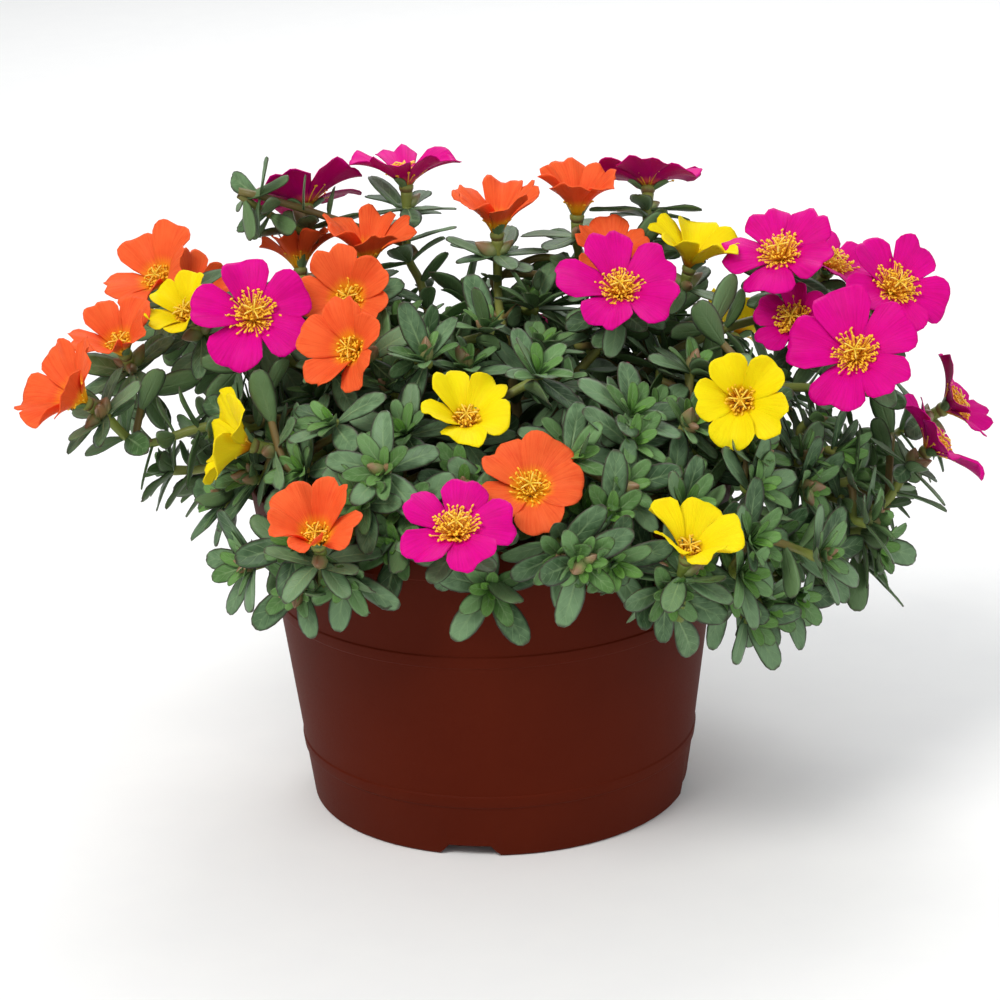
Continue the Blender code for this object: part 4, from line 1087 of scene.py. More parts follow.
def plan_tiers(space, shoot, rng):
    """Threes of leaves along a shoot below its whorl, each turned from the last."""
    path, node = shoot["path"], shoot["node"]
    leaves = []
    steps = smooth_path(path[1:], TIER_STEPS)
    walked, tier = 0.0, 0
    for k in range(len(steps) - 3, 2, -1):
        walked += (steps[k + 1] - steps[k]).length
        centre = steps[k]
        inside = math.hypot(centre.x, centre.y) < RIM_SPAN[0]
        buried = inside and centre.z < soil_height(centre.x, centre.y) + TIER_ABOVE_SOIL
        if walked < TIER_SPACING or buried:
            continue
        walked, tier = 0.0, tier + 1
        axis = (steps[k + 1] - steps[k]).normalized()
        for out in collar(axis, TIER_LEAVES, TIER_TURN * tier + rng.uniform(-0.2, 0.2)):
            length = LEAF_LENGTH * rng.uniform(*TIER_SIZES)
            leaf = try_leaf(space, node, centre, axis, out, TIER_LEAN, length, rng)
            if leaf:
                leaves.append((leaf, rng.uniform(*TIER_YOUTH)))
    return leaves


def covers(leaf, blooms):
    """Whether a leaf would stand between the camera and the face of an open bloom."""
    eye = Vector((0.0, -VIEW_DISTANCE, VIEW_HEIGHT))
    for bloom in blooms.values():
        facing, radius = bloom["facing"], bloom["diameter"] / 2
        middle = bloom["heart"] + facing * (CLEAR_LIFT * radius)
        if bloom["heart"].y > CLEAR_BEHIND:
            continue
        for share in CLEAR_POINTS:
            ray = leaf["base"] + leaf["ahead"] * (leaf["length"] * share) - eye
            reach = (middle - eye).dot(facing) / ray.dot(facing)
            if reach > CLEAR_AHEAD and (eye + ray * reach - middle).length < CLEAR_SHARE * radius:
                return True
    return False


def keep_clear(shoots, blooms):
    """The shoots, without the leafy tips that would end in front of an open bloom."""
    kept = []
    for shoot in shoots:
        end, axis = shoot["path"][-1], (shoot["path"][-1] - shoot["path"][-2]).normalized()
        tip = {"base": end, "ahead": axis, "length": TIP_LENGTH}
        others = [other for other in shoots if other is not shoot and other["node"] == shoot["node"]]
        gaps = [(other["path"][0] - point).length for other in others for point in shoot["path"][1:]]
        forked = any(gap < FORK_REACH for gap in gaps)
        if shoot["bloom"] or forked or not covers(tip, blooms):
            kept.append(shoot)
    return kept


def extra_places():
    """Places and directions of the further leafy tips: over the rim all round, and through the mound."""
    places = []
    for index in range(RIM_TIPS):
        turn = 2 * math.pi * (index + RIM_TIP_STAGGER * (index % 2)) / RIM_TIPS
        reach = RIM_TIP_REACH[index % len(RIM_TIP_REACH)]
        height = RIM_TIP_HEIGHT[index % len(RIM_TIP_HEIGHT)]
        out = Vector((math.sin(turn), -math.cos(turn), 0.0))
        way = (out + Vector((0, 0, RIM_TIP_RISE))).normalized()
        places.append((out * reach + Vector((0, 0, height)), way))
    for index in range(INNER_TIPS):
        place, way = mound_tip(index + INNER_STEP)
        places.append((Vector((place.x * INNER_SHARE, place.y * INNER_SHARE, place.z - INNER_DROP)), way))
    for row in HANGING_TIPS:
        place = seen_at(*row)
        way = Vector((place.x, place.y, 0.0)).normalized() + Vector((0.0, *HANGING_WAY))
        places.append((place, way.normalized()))
    for index in range(*OUTER_TIPS):
        tips = [mound_tip(index + step) for step in OUTER_STEPS]
        places += [tip for tip in tips if tip[0].x > OUTER_FROM]
    return places


def plan_extra(space, shoots, blooms, rng):
    """Further leafy twigs, each from the nearest stem with room for it."""
    made = []
    for place, way in extra_places():
        if covers({"base": place, "ahead": way, "length": TIP_LENGTH}, blooms):
            continue
        choices = near_stems(shoots, place, way, (2, 1), EXTRA_LEAST, 0.0)
        twig = plan_twig(space, shoots, choices, place, way, LONG_TIP_POINTS, rng)
        if not twig:
            continue
        foot = twig["path"][-2]
        axis = (twig["path"][-1] - foot).normalized()
        twig["leaves"] = []
        for out in collar(axis, EXTRA_LEAVES, rng.uniform(0, 6)):
            length = LEAF_LENGTH * rng.uniform(*EXTRA_SIZES)
            leaf = try_leaf(space, twig["node"], foot, axis, out, TIP_LEAN, length, rng)
            if leaf:
                twig["leaves"].append(leaf)
        made.append(twig)
    return made


def plan_bud_cluster(space, shoot, rng):
    """A few buds round the neck under a bloom, or at a leafy tip."""
    path, node = shoot["path"], shoot["node"]
    axis = (path[-1] - path[-2]).normalized()
    centre = path[-2] if shoot["bloom"] else path[-1]
    counts, leans = NECK_BUDS if shoot["bloom"] else TIP_BUDS
    buds = []
    count = rng.choice(counts)
    for out in collar(axis, count, rng.uniform(0, 6)):
        lean = rng.uniform(*leans)
        ahead = (axis * math.cos(lean) + out * math.sin(lean)).normalized()
        length = BUD_LENGTH * rng.uniform(*BUD_SIZES)
        bud = {"node": node, "base": centre, "ahead": ahead, "length": length, "radius": length * BUD_PLUMP}
        if not space.crosses(node, bud_mesh(bud)):
            space.add(node, bud_mesh(bud))
            buds.append(bud)
    return buds


def fill_space(blooms, shoots, buds):
    """What is planned already, for tests of what comes in addition."""
    space = Space()
    space.add("pot", turned_mesh(pot_profile(), POT_SIDES))
    for name, bloom in blooms.items():
        space.add(name, bloom_mesh(bloom, 1.03, PETAL_THICK + LEAF_CLEAR))
    for shoot in shoots:
        space.add(shoot["node"], tube_mesh(shoot["path"], shoot["radii"], shoot["sides"]))
        for leaf in shoot["leaves"]:
            space.add(shoot["node"], leaf_mesh(leaf))
    for bud in buds:
        space.add(bud["node"], bud_mesh(bud))
    return space


# Materials


class Shading:
    """A material's nodes, made by short calls that each return a socket."""

    def __init__(self, name, **settings):
        self.material = bpy.data.materials.new(name)
        self.material.use_nodes = True
        self.tree = self.material.node_tree
        self.shader = self.tree.nodes["Principled BSDF"]
        for label, value in settings.items():
            self.shader.inputs[label.replace("_", " ")].default_value = value

    def feed(self, socket, value):
        if isinstance(value, bpy.types.NodeSocket):
            self.tree.links.new(value, socket)
        else:
            socket.default_value = value

    def node(self, kind, inputs, output=0, **settings):
        made = self.tree.nodes.new("ShaderNode" + kind)
        for label, value in settings.items():
            setattr(made, label, value)
        for key, value in inputs.items():
            self.feed(made.inputs[key], value)
        return made.outputs[output]

    def math(self, operation, a, b=0.0):
        return self.node("Math", {0: a, 1: b}, operation=operation)

    def times(self, a, b):
        return self.math("MULTIPLY", a, b)

    def plus(self, a, b):
        return self.math("ADD", a, b)

    def minus(self, a, b):
        return self.math("SUBTRACT", a, b)

    def mix(self, share, a, b):
        colours = [value if isinstance(value, bpy.types.NodeSocket) else (*value, 1.0) for value in (a, b)]
        return self.node("Mix", {0: share, 6: colours[0], 7: colours[1]}, 2, data_type="RGBA")

    def smooth(self, value, low, high):
        """0 below low and 1 above high; the other way round where low is the higher."""
        inputs = {0: value, 1: low, 2: high, 3: 0.0, 4: 1.0}
        return self.node("MapRange", inputs, interpolation_type="SMOOTHSTEP")

    def mark(self, name):
        """The three parts of a mark that the pieces carry."""
        vector = self.node("Attribute", {}, 1, attribute_name=name)
        parts = self.tree.nodes.new("ShaderNodeSeparateXYZ")
        self.tree.links.new(vector, parts.inputs[0])
        return list(parts.outputs)

    def place(self):
        return self.node("TexCoord", {}, 3)

    def stretch(self, x, y, z):
        return self.node("CombineXYZ", {0: x, 1: y, 2: z})

    def noise(self, place, scale, detail=3.0, roughness=0.55):
        inputs = {"Vector": place, "Scale": scale, "Detail": detail, "Roughness": roughness}
        return self.node("TexNoise", inputs)

    def bump(self, height, distance, strength=1.0):
        normal = self.node("Bump", {"Height": height, "Distance": distance, "Strength": strength})
        self.tree.links.new(normal, self.shader.inputs["Normal"])

    def finish(self, colour, roughness=None):
        self.feed(self.shader.inputs["Base Color"], colour)
        if roughness is not None:
            self.feed(self.shader.inputs["Roughness"], roughness)
        return self.material


def leaf_finish():
    """Blue-green flesh with a waxy bloom, a paler midrib and a thin dark red rim."""
    s = Shading("portulaca_leaf", Coat_Weight=0.04, Coat_Roughness=0.35, Sheen_Weight=0.05,
                Specular_IOR_Level=0.30)
    along, across, tone = s.mark("spot")
    side, youth, _ = s.mark("trait")
    off = s.math("ABSOLUTE", across)
    wax = s.noise(s.place(), 230.0, 4.0)
    fine = s.noise(s.place(), 1500.0, 2.0)
    shade = s.plus(s.times(wax, 0.8), s.times(tone, 0.55))
    colour = s.mix(s.smooth(shade, 0.25, 0.95), LEAF_DEEP, LEAF_TOP)
    colour = s.mix(youth, colour, LEAF_YOUNG)
    slant = s.minus(s.times(along, 5.5), s.times(off, 1.6))
    veins = s.math("ABSOLUTE", s.minus(s.math("FRACT", slant), 0.5))
    vein = s.times(s.smooth(veins, 0.09, 0.0), 0.28)
    colour = s.mix(s.times(vein, s.smooth(off, 0.95, 0.5)), colour, LEAF_RIB)
    rib = s.times(s.smooth(off, 0.13, 0.02), s.smooth(along, 0.98, 0.25))
    colour = s.mix(s.times(rib, 0.62), colour, LEAF_RIB)
    colour = s.mix(s.times(s.smooth(side, 0.5, 0.2), 0.75), colour, LEAF_UNDER)
    edge = s.math("MAXIMUM", s.smooth(off, 0.82, 0.98), s.smooth(along, 0.93, 1.0))
    edge = s.times(edge, s.minus(0.85, s.times(youth, 0.6)))
    colour = s.mix(edge, colour, LEAF_RIM)
    relief = s.plus(s.times(fine, 0.35), s.times(rib, -0.8))
    s.bump(s.minus(relief, vein), 0.00025)
    return s.finish(colour, s.plus(0.40, s.times(wax, 0.22)))


def stem_finish():
    """Olive green stems, reddish brown at the foot and in streaks."""
    s = Shading("portulaca_stem", Specular_IOR_Level=0.30)
    along, _, tone = s.mark("spot")
    patches = s.noise(s.place(), 160.0, 3.0)
    streaks = s.noise(s.place(), 900.0, 2.0)
    green = s.mix(tone, *STEM_GREENS)
    ripe = s.plus(s.smooth(along, 0.75, 0.1), s.times(patches, 0.6))
    colour = s.mix(s.times(s.smooth(ripe, 0.45, 1.2), 0.7), green, STEM_RIPE)
    s.bump(streaks, 0.0002, 0.6)
    return s.finish(colour, s.plus(0.38, s.times(streaks, 0.2)))


def bud_finish():
    """Pale green buds that turn brownish pink towards the tip."""
    s = Shading("portulaca_bud")
    along, across, tone = s.mark("spot")
    patches = s.noise(s.place(), 420.0, 3.0)
    green = s.mix(patches, *BUD_GREENS)
    blush = s.plus(s.plus(along, s.times(patches, 0.5)), s.times(tone, 0.25))
    colour = s.mix(s.times(s.smooth(blush, 0.55, 1.25), 0.8), green, BUD_BLUSH)
    seam = s.smooth(s.math("ABSOLUTE", across), 0.12, 0.0)
    colour = s.mix(s.times(seam, 0.5), colour, BUD_SEAM)
    s.bump(s.minus(patches, seam), 0.0003, 0.7)
    return s.finish(colour, 0.42)


def petal_finish(name):
    """A silky petal: fine streaks from heart to edge, an eye at the heart, and a darker underside, which is
    painted shade.
    """
    look = PETAL_COLOURS[name]
    s = Shading(f"petal_{name}_fine", Subsurface_Weight=0.10, Subsurface_Scale=0.003, Specular_IOR_Level=0.08)
    along, across, tone = s.mark("spot")
    side = s.mark("trait")[0]
    spread = s.stretch(s.times(across, 13.0), s.times(along, 1.1), s.times(tone, 40.0))
    streaks = s.noise(spread, 1.6, 4.0, 0.6)
    clouds = s.noise(s.place(), 130.0, 2.0)
    depth = s.plus(s.times(streaks, 0.75), s.times(clouds, 0.45))
    colour = s.mix(s.times(s.smooth(depth, 0.42, 0.95), 0.75), look["main"], look["deep"])
    # The underside is darkened towards the under colour: painted shade.
    colour = s.mix(s.times(s.smooth(side, 0.6, 0.3), 0.8), colour, look["under"])
    ragged = s.plus(along, s.times(s.minus(streaks, 0.5), 0.22))
    eye = s.smooth(ragged, look["reach"] + 0.10, look["reach"] * 0.4)
    colour = s.mix(s.times(eye, 0.9), colour, look["eye"])
    s.bump(streaks, 0.00035, 0.7)
    return s.finish(colour, s.plus(0.42, s.times(streaks, 0.2)))


def stamen_finish(name, foot, tip):
    """Filaments that change colour towards their tips."""
    s = Shading(name)
    along, _, tone = s.mark("spot")
    grain = s.noise(s.place(), 2500.0, 1.0)
    colour = s.mix(s.smooth(along, 0.2, 0.8), foot, tip)
    colour = s.mix(s.times(grain, s.times(tone, 0.5)), colour, STAMEN_GRAIN)
    return s.finish(colour, 0.5)


def pot_finish():
    """Matt brown plastic with faint flow marks and a little dust near the rim."""
    s = Shading("pot_plastic", Specular_IOR_Level=0.07)
    along, _, _ = s.mark("spot")
    clouds = s.noise(s.place(), 22.0, 3.0)
    grain = s.noise(s.place(), 1400.0, 2.0)
    colour = s.mix(clouds, *POT_BROWNS)
    dust = s.times(s.smooth(s.noise(s.place(), 75.0, 5.0), 0.55, 0.8), s.smooth(along, 0.82, 1.0))
    colour = s.mix(s.times(dust, 0.35), colour, POT_DUST)
    s.bump(grain, 0.00010, 0.5)
    return s.finish(colour, s.plus(0.52, s.times(grain, 0.16)))


def soil_finish():
    """Dark crumbly compost with paler fibres."""
    s = Shading("potting_soil")
    crumbs = s.noise(s.place(), 650.0, 5.0, 0.65)
    patches = s.noise(s.place(), 90.0, 3.0)
    colour = s.mix(s.smooth(crumbs, 0.35, 0.75), *SOIL_DARKS)
    colour = s.mix(s.smooth(patches, 0.6, 0.8), colour, SOIL_FIBRE)
    s.bump(crumbs, 0.0012)
    return s.finish(colour, 0.92)


def floor_finish():
    s = Shading("studio_floor")
    grain = s.noise(s.place(), 40.0, 2.0)
    return s.finish(s.mix(grain, *FLOOR_WHITES), 0.8)


# The pot and the soil


def filleted(profile, radius):
    """The profile with its corners rounded by short curves."""
    points = [np.array(profile[0])]
    for before, corner, after in zip(profile, profile[1:], profile[2:]):
        before, corner, after = np.array(before), np.array(corner), np.array(after)
        back, on = np.linalg.norm(before - corner), np.linalg.norm(after - corner)
        reach = min(radius, back * FILLET_SHARE, on * FILLET_SHARE)
        start = corner + (before - corner) / back * reach
        end = corner + (after - corner) / on * reach
        for k in range(FILLET_POINTS):
            t = k / (FILLET_POINTS - 1)
            points.append(start * (1 - t) ** 2 + corner * 2 * t * (1 - t) + end * t * t)
    points.append(np.array(profile[-1]))
    return points


def notch_lift(turn):
    """Height of the drainage notch in the pot's foot at a place round it."""
    pitch = 2 * math.pi / NOTCH_COUNT
    off = abs((turn - NOTCH_TURN + pitch / 2) % pitch - pitch / 2) * POT_BASE_RADIUS
    rise = (NOTCH_WIDTH_LOW / 2 - off) / (NOTCH_WIDTH_LOW - NOTCH_WIDTH_HIGH) * 2
    return NOTCH_HEIGHT * min(1.0, max(0.0, rise))


def notch_corners():
    """The places round the foot where a notch starts and ends."""
    pitch = 2 * math.pi / NOTCH_COUNT
    halves = [width / 2 / POT_BASE_RADIUS for width in (NOTCH_WIDTH_LOW, NOTCH_WIDTH_HIGH)]
    corners = [sign * half for half in halves for sign in (-1, 1)]
    return [NOTCH_TURN + pitch * k + corner for k in range(NOTCH_COUNT) for corner in corners]


def make_fine_pot():
    """The pot with rounded ribs and rim and its notches, turned in fine steps."""
    profile = filleted(pot_profile(), POT_FILLET)
    turns = [2 * math.pi * k / FINE_POT_SIDES for k in range(FINE_POT_SIDES)]
    turns = sorted({round(turn % (2 * math.pi), 5) for turn in turns + notch_corners()})
    points, spots = [], []
    for radius, height in profile:
        skirt = radius > CENTRE_FOOT_RADIUS * 2 and height < NOTCH_HEIGHT
        for turn in turns:
            z = max(height, notch_lift(turn)) if skirt else height
            points.append((radius * math.cos(turn), radius * math.sin(turn), z))
            spots.append((z / POT_HEIGHT, 0.0, 0.5))
    piece = Piece("pot_shell")
    piece.add(points, loft_faces(len(profile), len(turns)), 0, spots, (1.0, 0.0, 0.0))
    obj = piece.make([pot_finish()])
    obj.data.set_sharp_from_angle(angle=POT_SHARP)
    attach(obj, "root")
    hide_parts("pot")


def rough(x, y, seed):
    """A repeatable rough height from -1 to 1, made of a few crossed waves."""
    total = 0.0
    for k in range(ROUGH_WAVES):
        pitch = ROUGH_PITCH * 1.7**k
        turn = seed + 1.9 * k
        total += math.sin(pitch * (x * math.cos(turn) + y * math.sin(turn)) + 2.3 * k) / 1.35**k
    return total / 3.0


def soil_wall(height):
    """Radius of the soil where it meets the pot's inner wall."""
    wall_low = pot_radius(POT_FLOOR_HIGH) - POT_WALL
    wall_top = pot_radius(POT_HEIGHT) + RIM_PROUD - POT_WALL - RIM_ROUND - LIP_STEP
    span = POT_HEIGHT - LIP_DEPTH - POT_FLOOR_HIGH
    return wall_low + (wall_top - wall_low) * (height - POT_FLOOR_HIGH) / span


def make_fine_soil(rng):
    """The soil with a crumbly top, and loose crumbs sunk into it."""
    foot = POT_FLOOR_HIGH + SOIL_GAP
    turns = [2 * math.pi * k / SOIL_ROUND for k in range(SOIL_ROUND)]
    low, high = soil_wall(foot) - 2 * SOIL_GAP, soil_wall(SOIL_EDGE_HEIGHT) - 2 * SOIL_GAP
    points = [(low * math.cos(turn), low * math.sin(turn), foot) for turn in turns]
    for ring in range(SOIL_ACROSS):
        radius = high * (1 - ring / SOIL_ACROSS)
        for turn in turns:
            x, y = radius * math.cos(turn), radius * math.sin(turn)
            lift = soil_height(x, y) + SOIL_GRAIN * rough(x, y, 0.7) if ring else SOIL_EDGE_HEIGHT
            points.append((x, y, lift))
    piece = Piece("soil_bed")
    piece.add(points, loft_faces(SOIL_ACROSS + 1, SOIL_ROUND), 0, (0.0, 0.0, 0.5), (1.0, 0.0, 0.0))
    for _ in range(SOIL_CRUMBS):
        radius, turn = high * 0.95 * math.sqrt(rng.random()), rng.uniform(0, 2 * math.pi)
        x, y = radius * math.cos(turn), radius * math.sin(turn)
        size = rng.uniform(*CRUMB_SIZE)
        axis = Vector((rng.uniform(-1, 1), rng.uniform(-1, 1), rng.uniform(0.2, 1))).normalized()
        start = Vector((x, y, soil_height(x, y))) - axis * (0.5 * size)
        path = [start + axis * (size * k / 3) for k in range(4)]
        radii = [size * width for width in CRUMB_WIDTHS]
        add_tube(piece, path, radii, 5, 0, rng.random())
    obj = piece.make([soil_finish()])
    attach(obj, "root")
    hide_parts("soil")


# Blooms

# Places of a bloom's materials on its piece
PETAL, FILAMENT, ANTHER, STYLE, CALYX, SEPAL = range(6)


def petal_outline(across, shoulder, notch):
    """How far a petal reaches at a place across it, as a share: round shoulders and a notch in the tip."""
    shoulder = shoulder + (1.0 - shoulder) * (1.0 - abs(across) ** 3.0) ** 0.50
    return shoulder - notch * np.exp(-((across / 0.16) ** 2)) + 0.012 * np.sin(11.0 * across + 40.0 * notch)


def petal_sheet(bloom, petal, rng):
    """The points of a petal's middle surface, in rows from its foot and columns across."""
    shares = np.linspace(0.0, 1.12, 29)
    out_up = np.array([petal_curve(bloom, share) for share in shares])
    steps = np.gradient(out_up, axis=0)
    leans = np.arctan2(steps[:, 1], steps[:, 0])
    along = (np.linspace(0.0, 1.0, PETAL_ROWS) ** 0.85)[:, None]
    across = np.linspace(-1.0, 1.0, PETAL_COLUMNS)[None, :]
    notch = PETAL_NOTCH * rng.uniform(*PETAL_NOTCHES)
    outline = petal_outline(across, PETAL_SHOULDER[bloom["colour"]], notch)
    share = along * outline * rng.uniform(*PETAL_LENGTHS)
    out, up, lean = (np.interp(share, shares, row) for row in (out_up[:, 0], out_up[:, 1], leans))
    reach = bloom["diameter"] / 2
    phase, tilt = rng.uniform(0, 2 * math.pi), rng.uniform(*PETAL_TILT)
    ruffle = RUFFLE * share**2 * np.sin(3.4 * across + phase)
    frill = FRILL * share**5 * np.sin(10.0 * across + 2 * phase)
    crease = -CREASE * share * np.exp(-((across / 0.2) ** 2))
    cradle = CRADLE * rng.uniform(*CRADLES) * share * across**2
    lift = reach * (ruffle + frill + crease + cradle + 0.055 * across * share + tilt * share**1.5)
    out, up = out - np.sin(lean) * lift, up + np.cos(lean) * lift
    spread = math.radians(PETAL_SPREAD[bloom["colour"]] * rng.uniform(*PETAL_WIDTHS))
    middle = petal * 2 * math.pi / PETALS + bloom["spin"] + rng.uniform(-0.06, 0.06)
    turn = middle + across * spread * (1.0 - 0.08 * along**2)
    side, top = (np.array(v) for v in frame_of(bloom["facing"]))
    round_it = np.cos(turn)[..., None] * side + np.sin(turn)[..., None] * top
    centre = np.array(bloom["heart"])
    points = centre + round_it * out[..., None] + np.array(bloom["facing"]) * up[..., None]
    return points, np.broadcast_to(share, out.shape), np.broadcast_to(across, out.shape)


@functools.lru_cache(maxsize=None)
def sheet_faces(rows, columns):
    """Faces of a thin closed sheet: an upper and a lower grid joined along their rims."""
    faces, low = [], rows * columns
    for r in range(rows - 1):
        for c in range(columns - 1):
            a = r * columns + c
            quad = (a, a + 1, a + columns + 1, a + columns)
            faces += [quad, tuple(low + k for k in reversed(quad))]
    rim = [c for c in range(columns)] + [r * columns + columns - 1 for r in range(1, rows)]
    rim += [(rows - 1) * columns + c for c in range(columns - 2, -1, -1)]
    rim += [r * columns for r in range(rows - 2, 0, -1)]
    for a, b in zip(rim, rim[1:] + rim[:1]):
        faces.append((b, a, low + a, low + b))
    return tuple(faces)


def add_petal(piece, bloom, petal, rng):
    """A petal as a thin closed sheet, with its upper side towards where the bloom faces."""
    points, along, across = petal_sheet(bloom, petal, rng)
    normal = np.cross(np.gradient(points, axis=0), np.gradient(points, axis=1))
    normal /= np.maximum(np.linalg.norm(normal, axis=-1, keepdims=True), 1e-9)
    if np.sum(normal * np.array(bloom["facing"])) < 0:
        normal = -normal
    both = np.concatenate([(points + normal * sign * PETAL_SHEET / 2).reshape(-1, 3) for sign in (1, -1)])
    tone = rng.random()
    spots = np.stack([along.ravel(), across.ravel(), np.full(along.size, tone)], axis=-1)
    sides = np.repeat([1.0, 0.0], along.size)
    traits = np.stack([sides, 0 * sides, 0 * sides], axis=-1)
    piece.add(both, sheet_faces(*along.shape), PETAL, np.concatenate([spots, spots]), traits)


def add_stamens(piece, bloom, rng):
    """A tangle of filaments, each with an anther, round the heart."""
    facing, heart = bloom["facing"], bloom["heart"]
    side, up = frame_of(facing)
    widest, fall, least = STAMEN_LEAN
    core = [heart + facing * (HEART_RADIUS * (0.9 * height - 0.1)) for height, _ in HEART_DOME]
    add_tube(piece, core, [HEART_RADIUS * 0.62 * width for _, width in HEART_DOME], 10, ANTHER, 0.4)
    number, longest = STAMENS[bloom["colour"]], STAMEN_LENGTH[bloom["colour"]]
    for index in range(number):
        turn = index * GOLDEN_ANGLE
        round_it = spoke(side, up, turn)
        wander = side * rng.uniform(-1, 1) + up * rng.uniform(-1, 1)
        share = math.sqrt((index + 0.5) / number)
        length = longest * rng.uniform(*STAMEN_LENGTHS)
        lean = share * math.radians(max(least, widest - fall * bloom["cup"])) * rng.uniform(0.75, 1.1)
        start = heart + round_it * (0.0020 * share) - facing * 0.0004
        way = facing * math.cos(lean) + round_it * math.sin(lean)
        bend = round_it * (0.22 * length * share) + wander * (0.12 * length)
        path = [start + way * (length * t) + bend * (t * t) for t in (0.0, 0.35, 0.7, 1.0)]
        radii = [STAMEN_RADIUS * width for width in STAMEN_WIDTHS]
        add_tube(piece, path, radii, 3, FILAMENT, rng.random())
        across = (wander + round_it * 0.3).normalized()
        ends = [path[-1] + across * (ANTHER_LENGTH * place) for place in (-0.5, -0.25, 0.25, 0.5)]
        radii = [ANTHER_RADIUS * width for width in ANTHER_WIDTHS]
        add_tube(piece, ends, radii, 4, ANTHER, rng.random())


def add_style(piece, bloom, rng):
    """The style in the middle, with its spreading arms."""
    facing, heart = bloom["facing"], bloom["heart"]
    side, up = frame_of(facing)
    height = STAMEN_LENGTH[bloom["colour"]] * 0.95
    top = heart + facing * height
    add_tube(piece, [heart, heart + facing * (height / 2), top], STYLE_RADII, 5, STYLE, 0.5)
    arms = STYLE_ARMS[bloom["colour"]]
    for arm in range(arms):
        turn = 2 * math.pi * arm / arms + rng.uniform(-0.2, 0.2)
        out = spoke(side, up, turn)
        bends = [(math.sin(1.45 * t), 0.25 * math.sin(2.2 * t)) for t in (0, 0.3, 0.65, 1)]
        path = [top + (out * along + facing * rise) * STYLE_ARM_LENGTH for along, rise in bends]
        add_tube(piece, path, STYLE_ARM_RADII, 4, STYLE, 0.3)


def add_calyx(piece, bloom, rng):
    """The green cup under a bloom, with two broad sepals that hug its petals."""
    facing, heart = bloom["facing"], bloom["heart"]
    seat = calyx_tip(bloom)
    path = [seat, seat + facing * 0.0012, seat + facing * 0.0026, heart + facing * 0.0004]
    add_tube(piece, path, CALYX_RADII, 10, CALYX, 0.6)
    side, up = frame_of(facing)
    steep = math.radians(min(PETAL_STEEPEST, bloom["cup"] + PETAL_START) - 8.0)
    for k in range(SEPALS):
        turn = bloom["spin"] + math.pi * k + 0.4
        out = spoke(side, up, turn)
        ahead = (facing * math.sin(steep) + out * math.cos(steep)).normalized()
        base = seat + facing * 0.0008 + out * 0.0010
        sepal = leaf_row(base, ahead, facing, SEPAL_LENGTH, 0.02, 0.55)
        sepal = dict(sepal, width=SEPAL_LENGTH * SEPAL_WIDTH, wave=0.0, swing=0.0)
        add_fine_leaf(piece, sepal, SEPAL, rng.random(), 0.3)


def make_fine_bloom(name, bloom, finishes):
    """A bloom with its ruffled petals, stamens, style, calyx and sepals."""
    rng = random.Random(f"{SEED} {name}")
    piece = Piece(f"{name}_bloom")
    for petal in range(PETALS):
        add_petal(piece, bloom, petal, rng)
    add_stamens(piece, bloom, rng)
    add_style(piece, bloom, rng)
    add_calyx(piece, bloom, rng)
    colour = bloom["colour"]
    looks = (f"petal_{colour}", f"filament_{colour}", "anther", "style", "stem", "leaf")
    obj = piece.make([finishes[look] for look in looks])
    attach(obj, "root")
    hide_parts(f"bloom_{name}")


# Leafy stems

# Places of a leafy stem's materials on its piece
BARK, BLADE, BUD = range(3)


def make_fine_stem(node, shoots, buds, blooms, space, finishes):
    """A leafy stem: its shoots with all their leaves and buds, without those that would cover a bloom."""
    rng = random.Random(f"{SEED} {node}")
    piece = Piece(f"{node}_leafy")
    for shoot in shoots:
        path, radii = fine_path(shoot)
        add_tube(piece, path, radii, STEM_ROUND, BARK, rng.random())
        leaves = [(leaf, 0.0) for leaf in shoot["leaves"]]
        leaves += plan_tiers(space, shoot, rng)
        if not shoot["bloom"]:
            leaves += plan_heart(space, shoot, rng)
        for leaf, youth in leaves:
            if not covers(leaf, blooms):
                add_fine_leaf(piece, dress_leaf(leaf, rng), BLADE, rng.random(), youth)
        if shoot["bloom"] or rng.random() < TIP_BUD_SHARE:
            for bud in plan_bud_cluster(space, shoot, rng):
                add_fine_bud(piece, bud, BUD, rng.random())
    for bud in buds:
        if not covers(bud, blooms):
            add_fine_bud(piece, bud, BUD, rng.random())
    obj = piece.make([finishes["stem"], finishes["leaf"], finishes["bud"]])
    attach(obj, "root")
    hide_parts(node)


# Studio


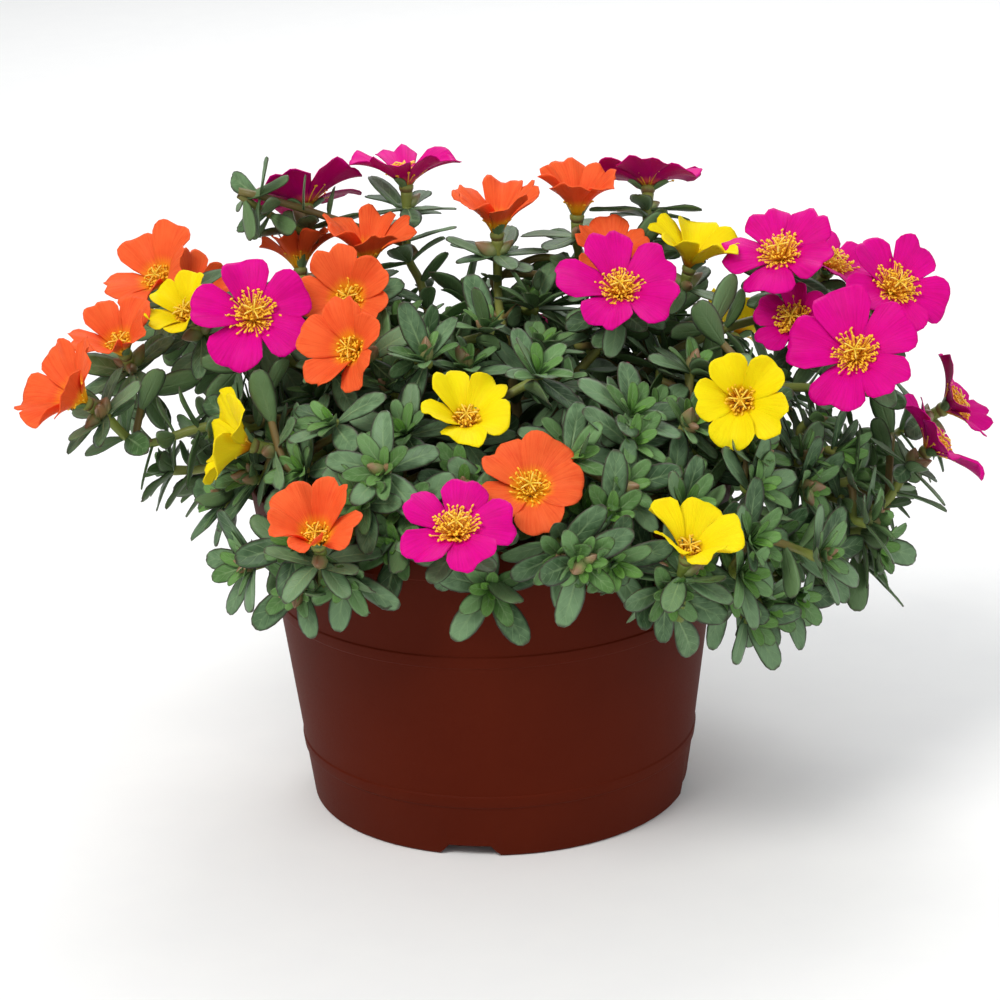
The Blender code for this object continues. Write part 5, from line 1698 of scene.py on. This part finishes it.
def make_studio():
    """A pale floor, three soft lamps and an even sky."""
    mesh = bpy.data.meshes.new("floor")
    half = FLOOR_SIZE / 2
    corners = [(-half, -half, 0), (half, -half, 0), (half, half, 0), (-half, half, 0)]
    mesh.from_pydata(corners, [], [(0, 1, 2, 3)])
    mesh.materials.append(floor_finish())
    floor = bpy.data.objects.new("floor", mesh)
    bpy.context.scene.collection.objects.link(floor)
    for name, (place, target, size, power, colour) in LIGHTS.items():
        data = bpy.data.lights.new(name, "AREA")
        data.size, data.energy, data.color = size, power, colour
        lamp = bpy.data.objects.new(name, data)
        lamp.location = place
        lamp.rotation_mode = "QUATERNION"
        lamp.rotation_quaternion = (Vector(target) - Vector(place)).to_track_quat("-Z", "Y")
        bpy.context.scene.collection.objects.link(lamp)
    world = bpy.data.worlds.new("studio")
    world.use_nodes = True
    sky = world.node_tree.nodes["Background"]
    sky.inputs["Color"].default_value = (*SKY[0], 1.0)
    sky.inputs["Strength"].default_value = SKY[1]
    bpy.context.scene.world = world
    bpy.context.scene.view_settings.view_transform = "Standard"


def make_camera():
    """The camera that the blooms were placed from."""
    data = bpy.data.cameras.new("camera")
    data.sensor_width = SENSOR_WIDTH
    data.lens = data.sensor_width * VIEW_FOCAL / (2 * VIEW_CENTRE)
    data.clip_end = CLIP_END
    ahead = view_ray(VIEW_CENTRE, VIEW_CENTRE).normalized()
    right = (view_ray(VIEW_CENTRE + 1, VIEW_CENTRE) - view_ray(VIEW_CENTRE, VIEW_CENTRE)).normalized()
    up = right.cross(ahead)
    camera = bpy.data.objects.new("camera", data)
    turn = Matrix((right, up, -ahead)).transposed()
    camera.matrix_world = Matrix.Translation((0.0, -VIEW_DISTANCE, VIEW_HEIGHT)) @ turn.to_4x4()
    bpy.context.scene.collection.objects.link(camera)
    bpy.context.scene.camera = camera


def make_finishes():
    """The materials of the plant by name."""
    finishes = {"leaf": leaf_finish(), "stem": stem_finish(), "bud": bud_finish()}
    finishes.update({f"petal_{name}": petal_finish(name) for name in PETAL_COLOURS})
    finishes.update({name: stamen_finish(name, *ends) for name, ends in STAMEN_COLOURS.items()})
    return finishes


def main():
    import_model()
    make_studio()
    make_camera()
    blooms, roots, shoots, buds = plan_plant()
    finishes = make_finishes()
    make_fine_pot()
    make_fine_soil(random.Random(SEED))
    for name, bloom in blooms.items():
        make_fine_bloom(name, bloom, finishes)
    space = fill_space(blooms, shoots, buds)
    shoots = keep_clear(shoots, blooms)
    shoots += plan_extra(space, shoots, blooms, random.Random(SEED))
    for node in roots:
        own_buds = [bud for bud in buds if bud["node"] == node]
        own_shoots = [shoot for shoot in shoots if shoot["node"] == node]
        make_fine_stem(node, own_shoots, own_buds, blooms, space, finishes)
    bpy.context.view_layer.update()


main()
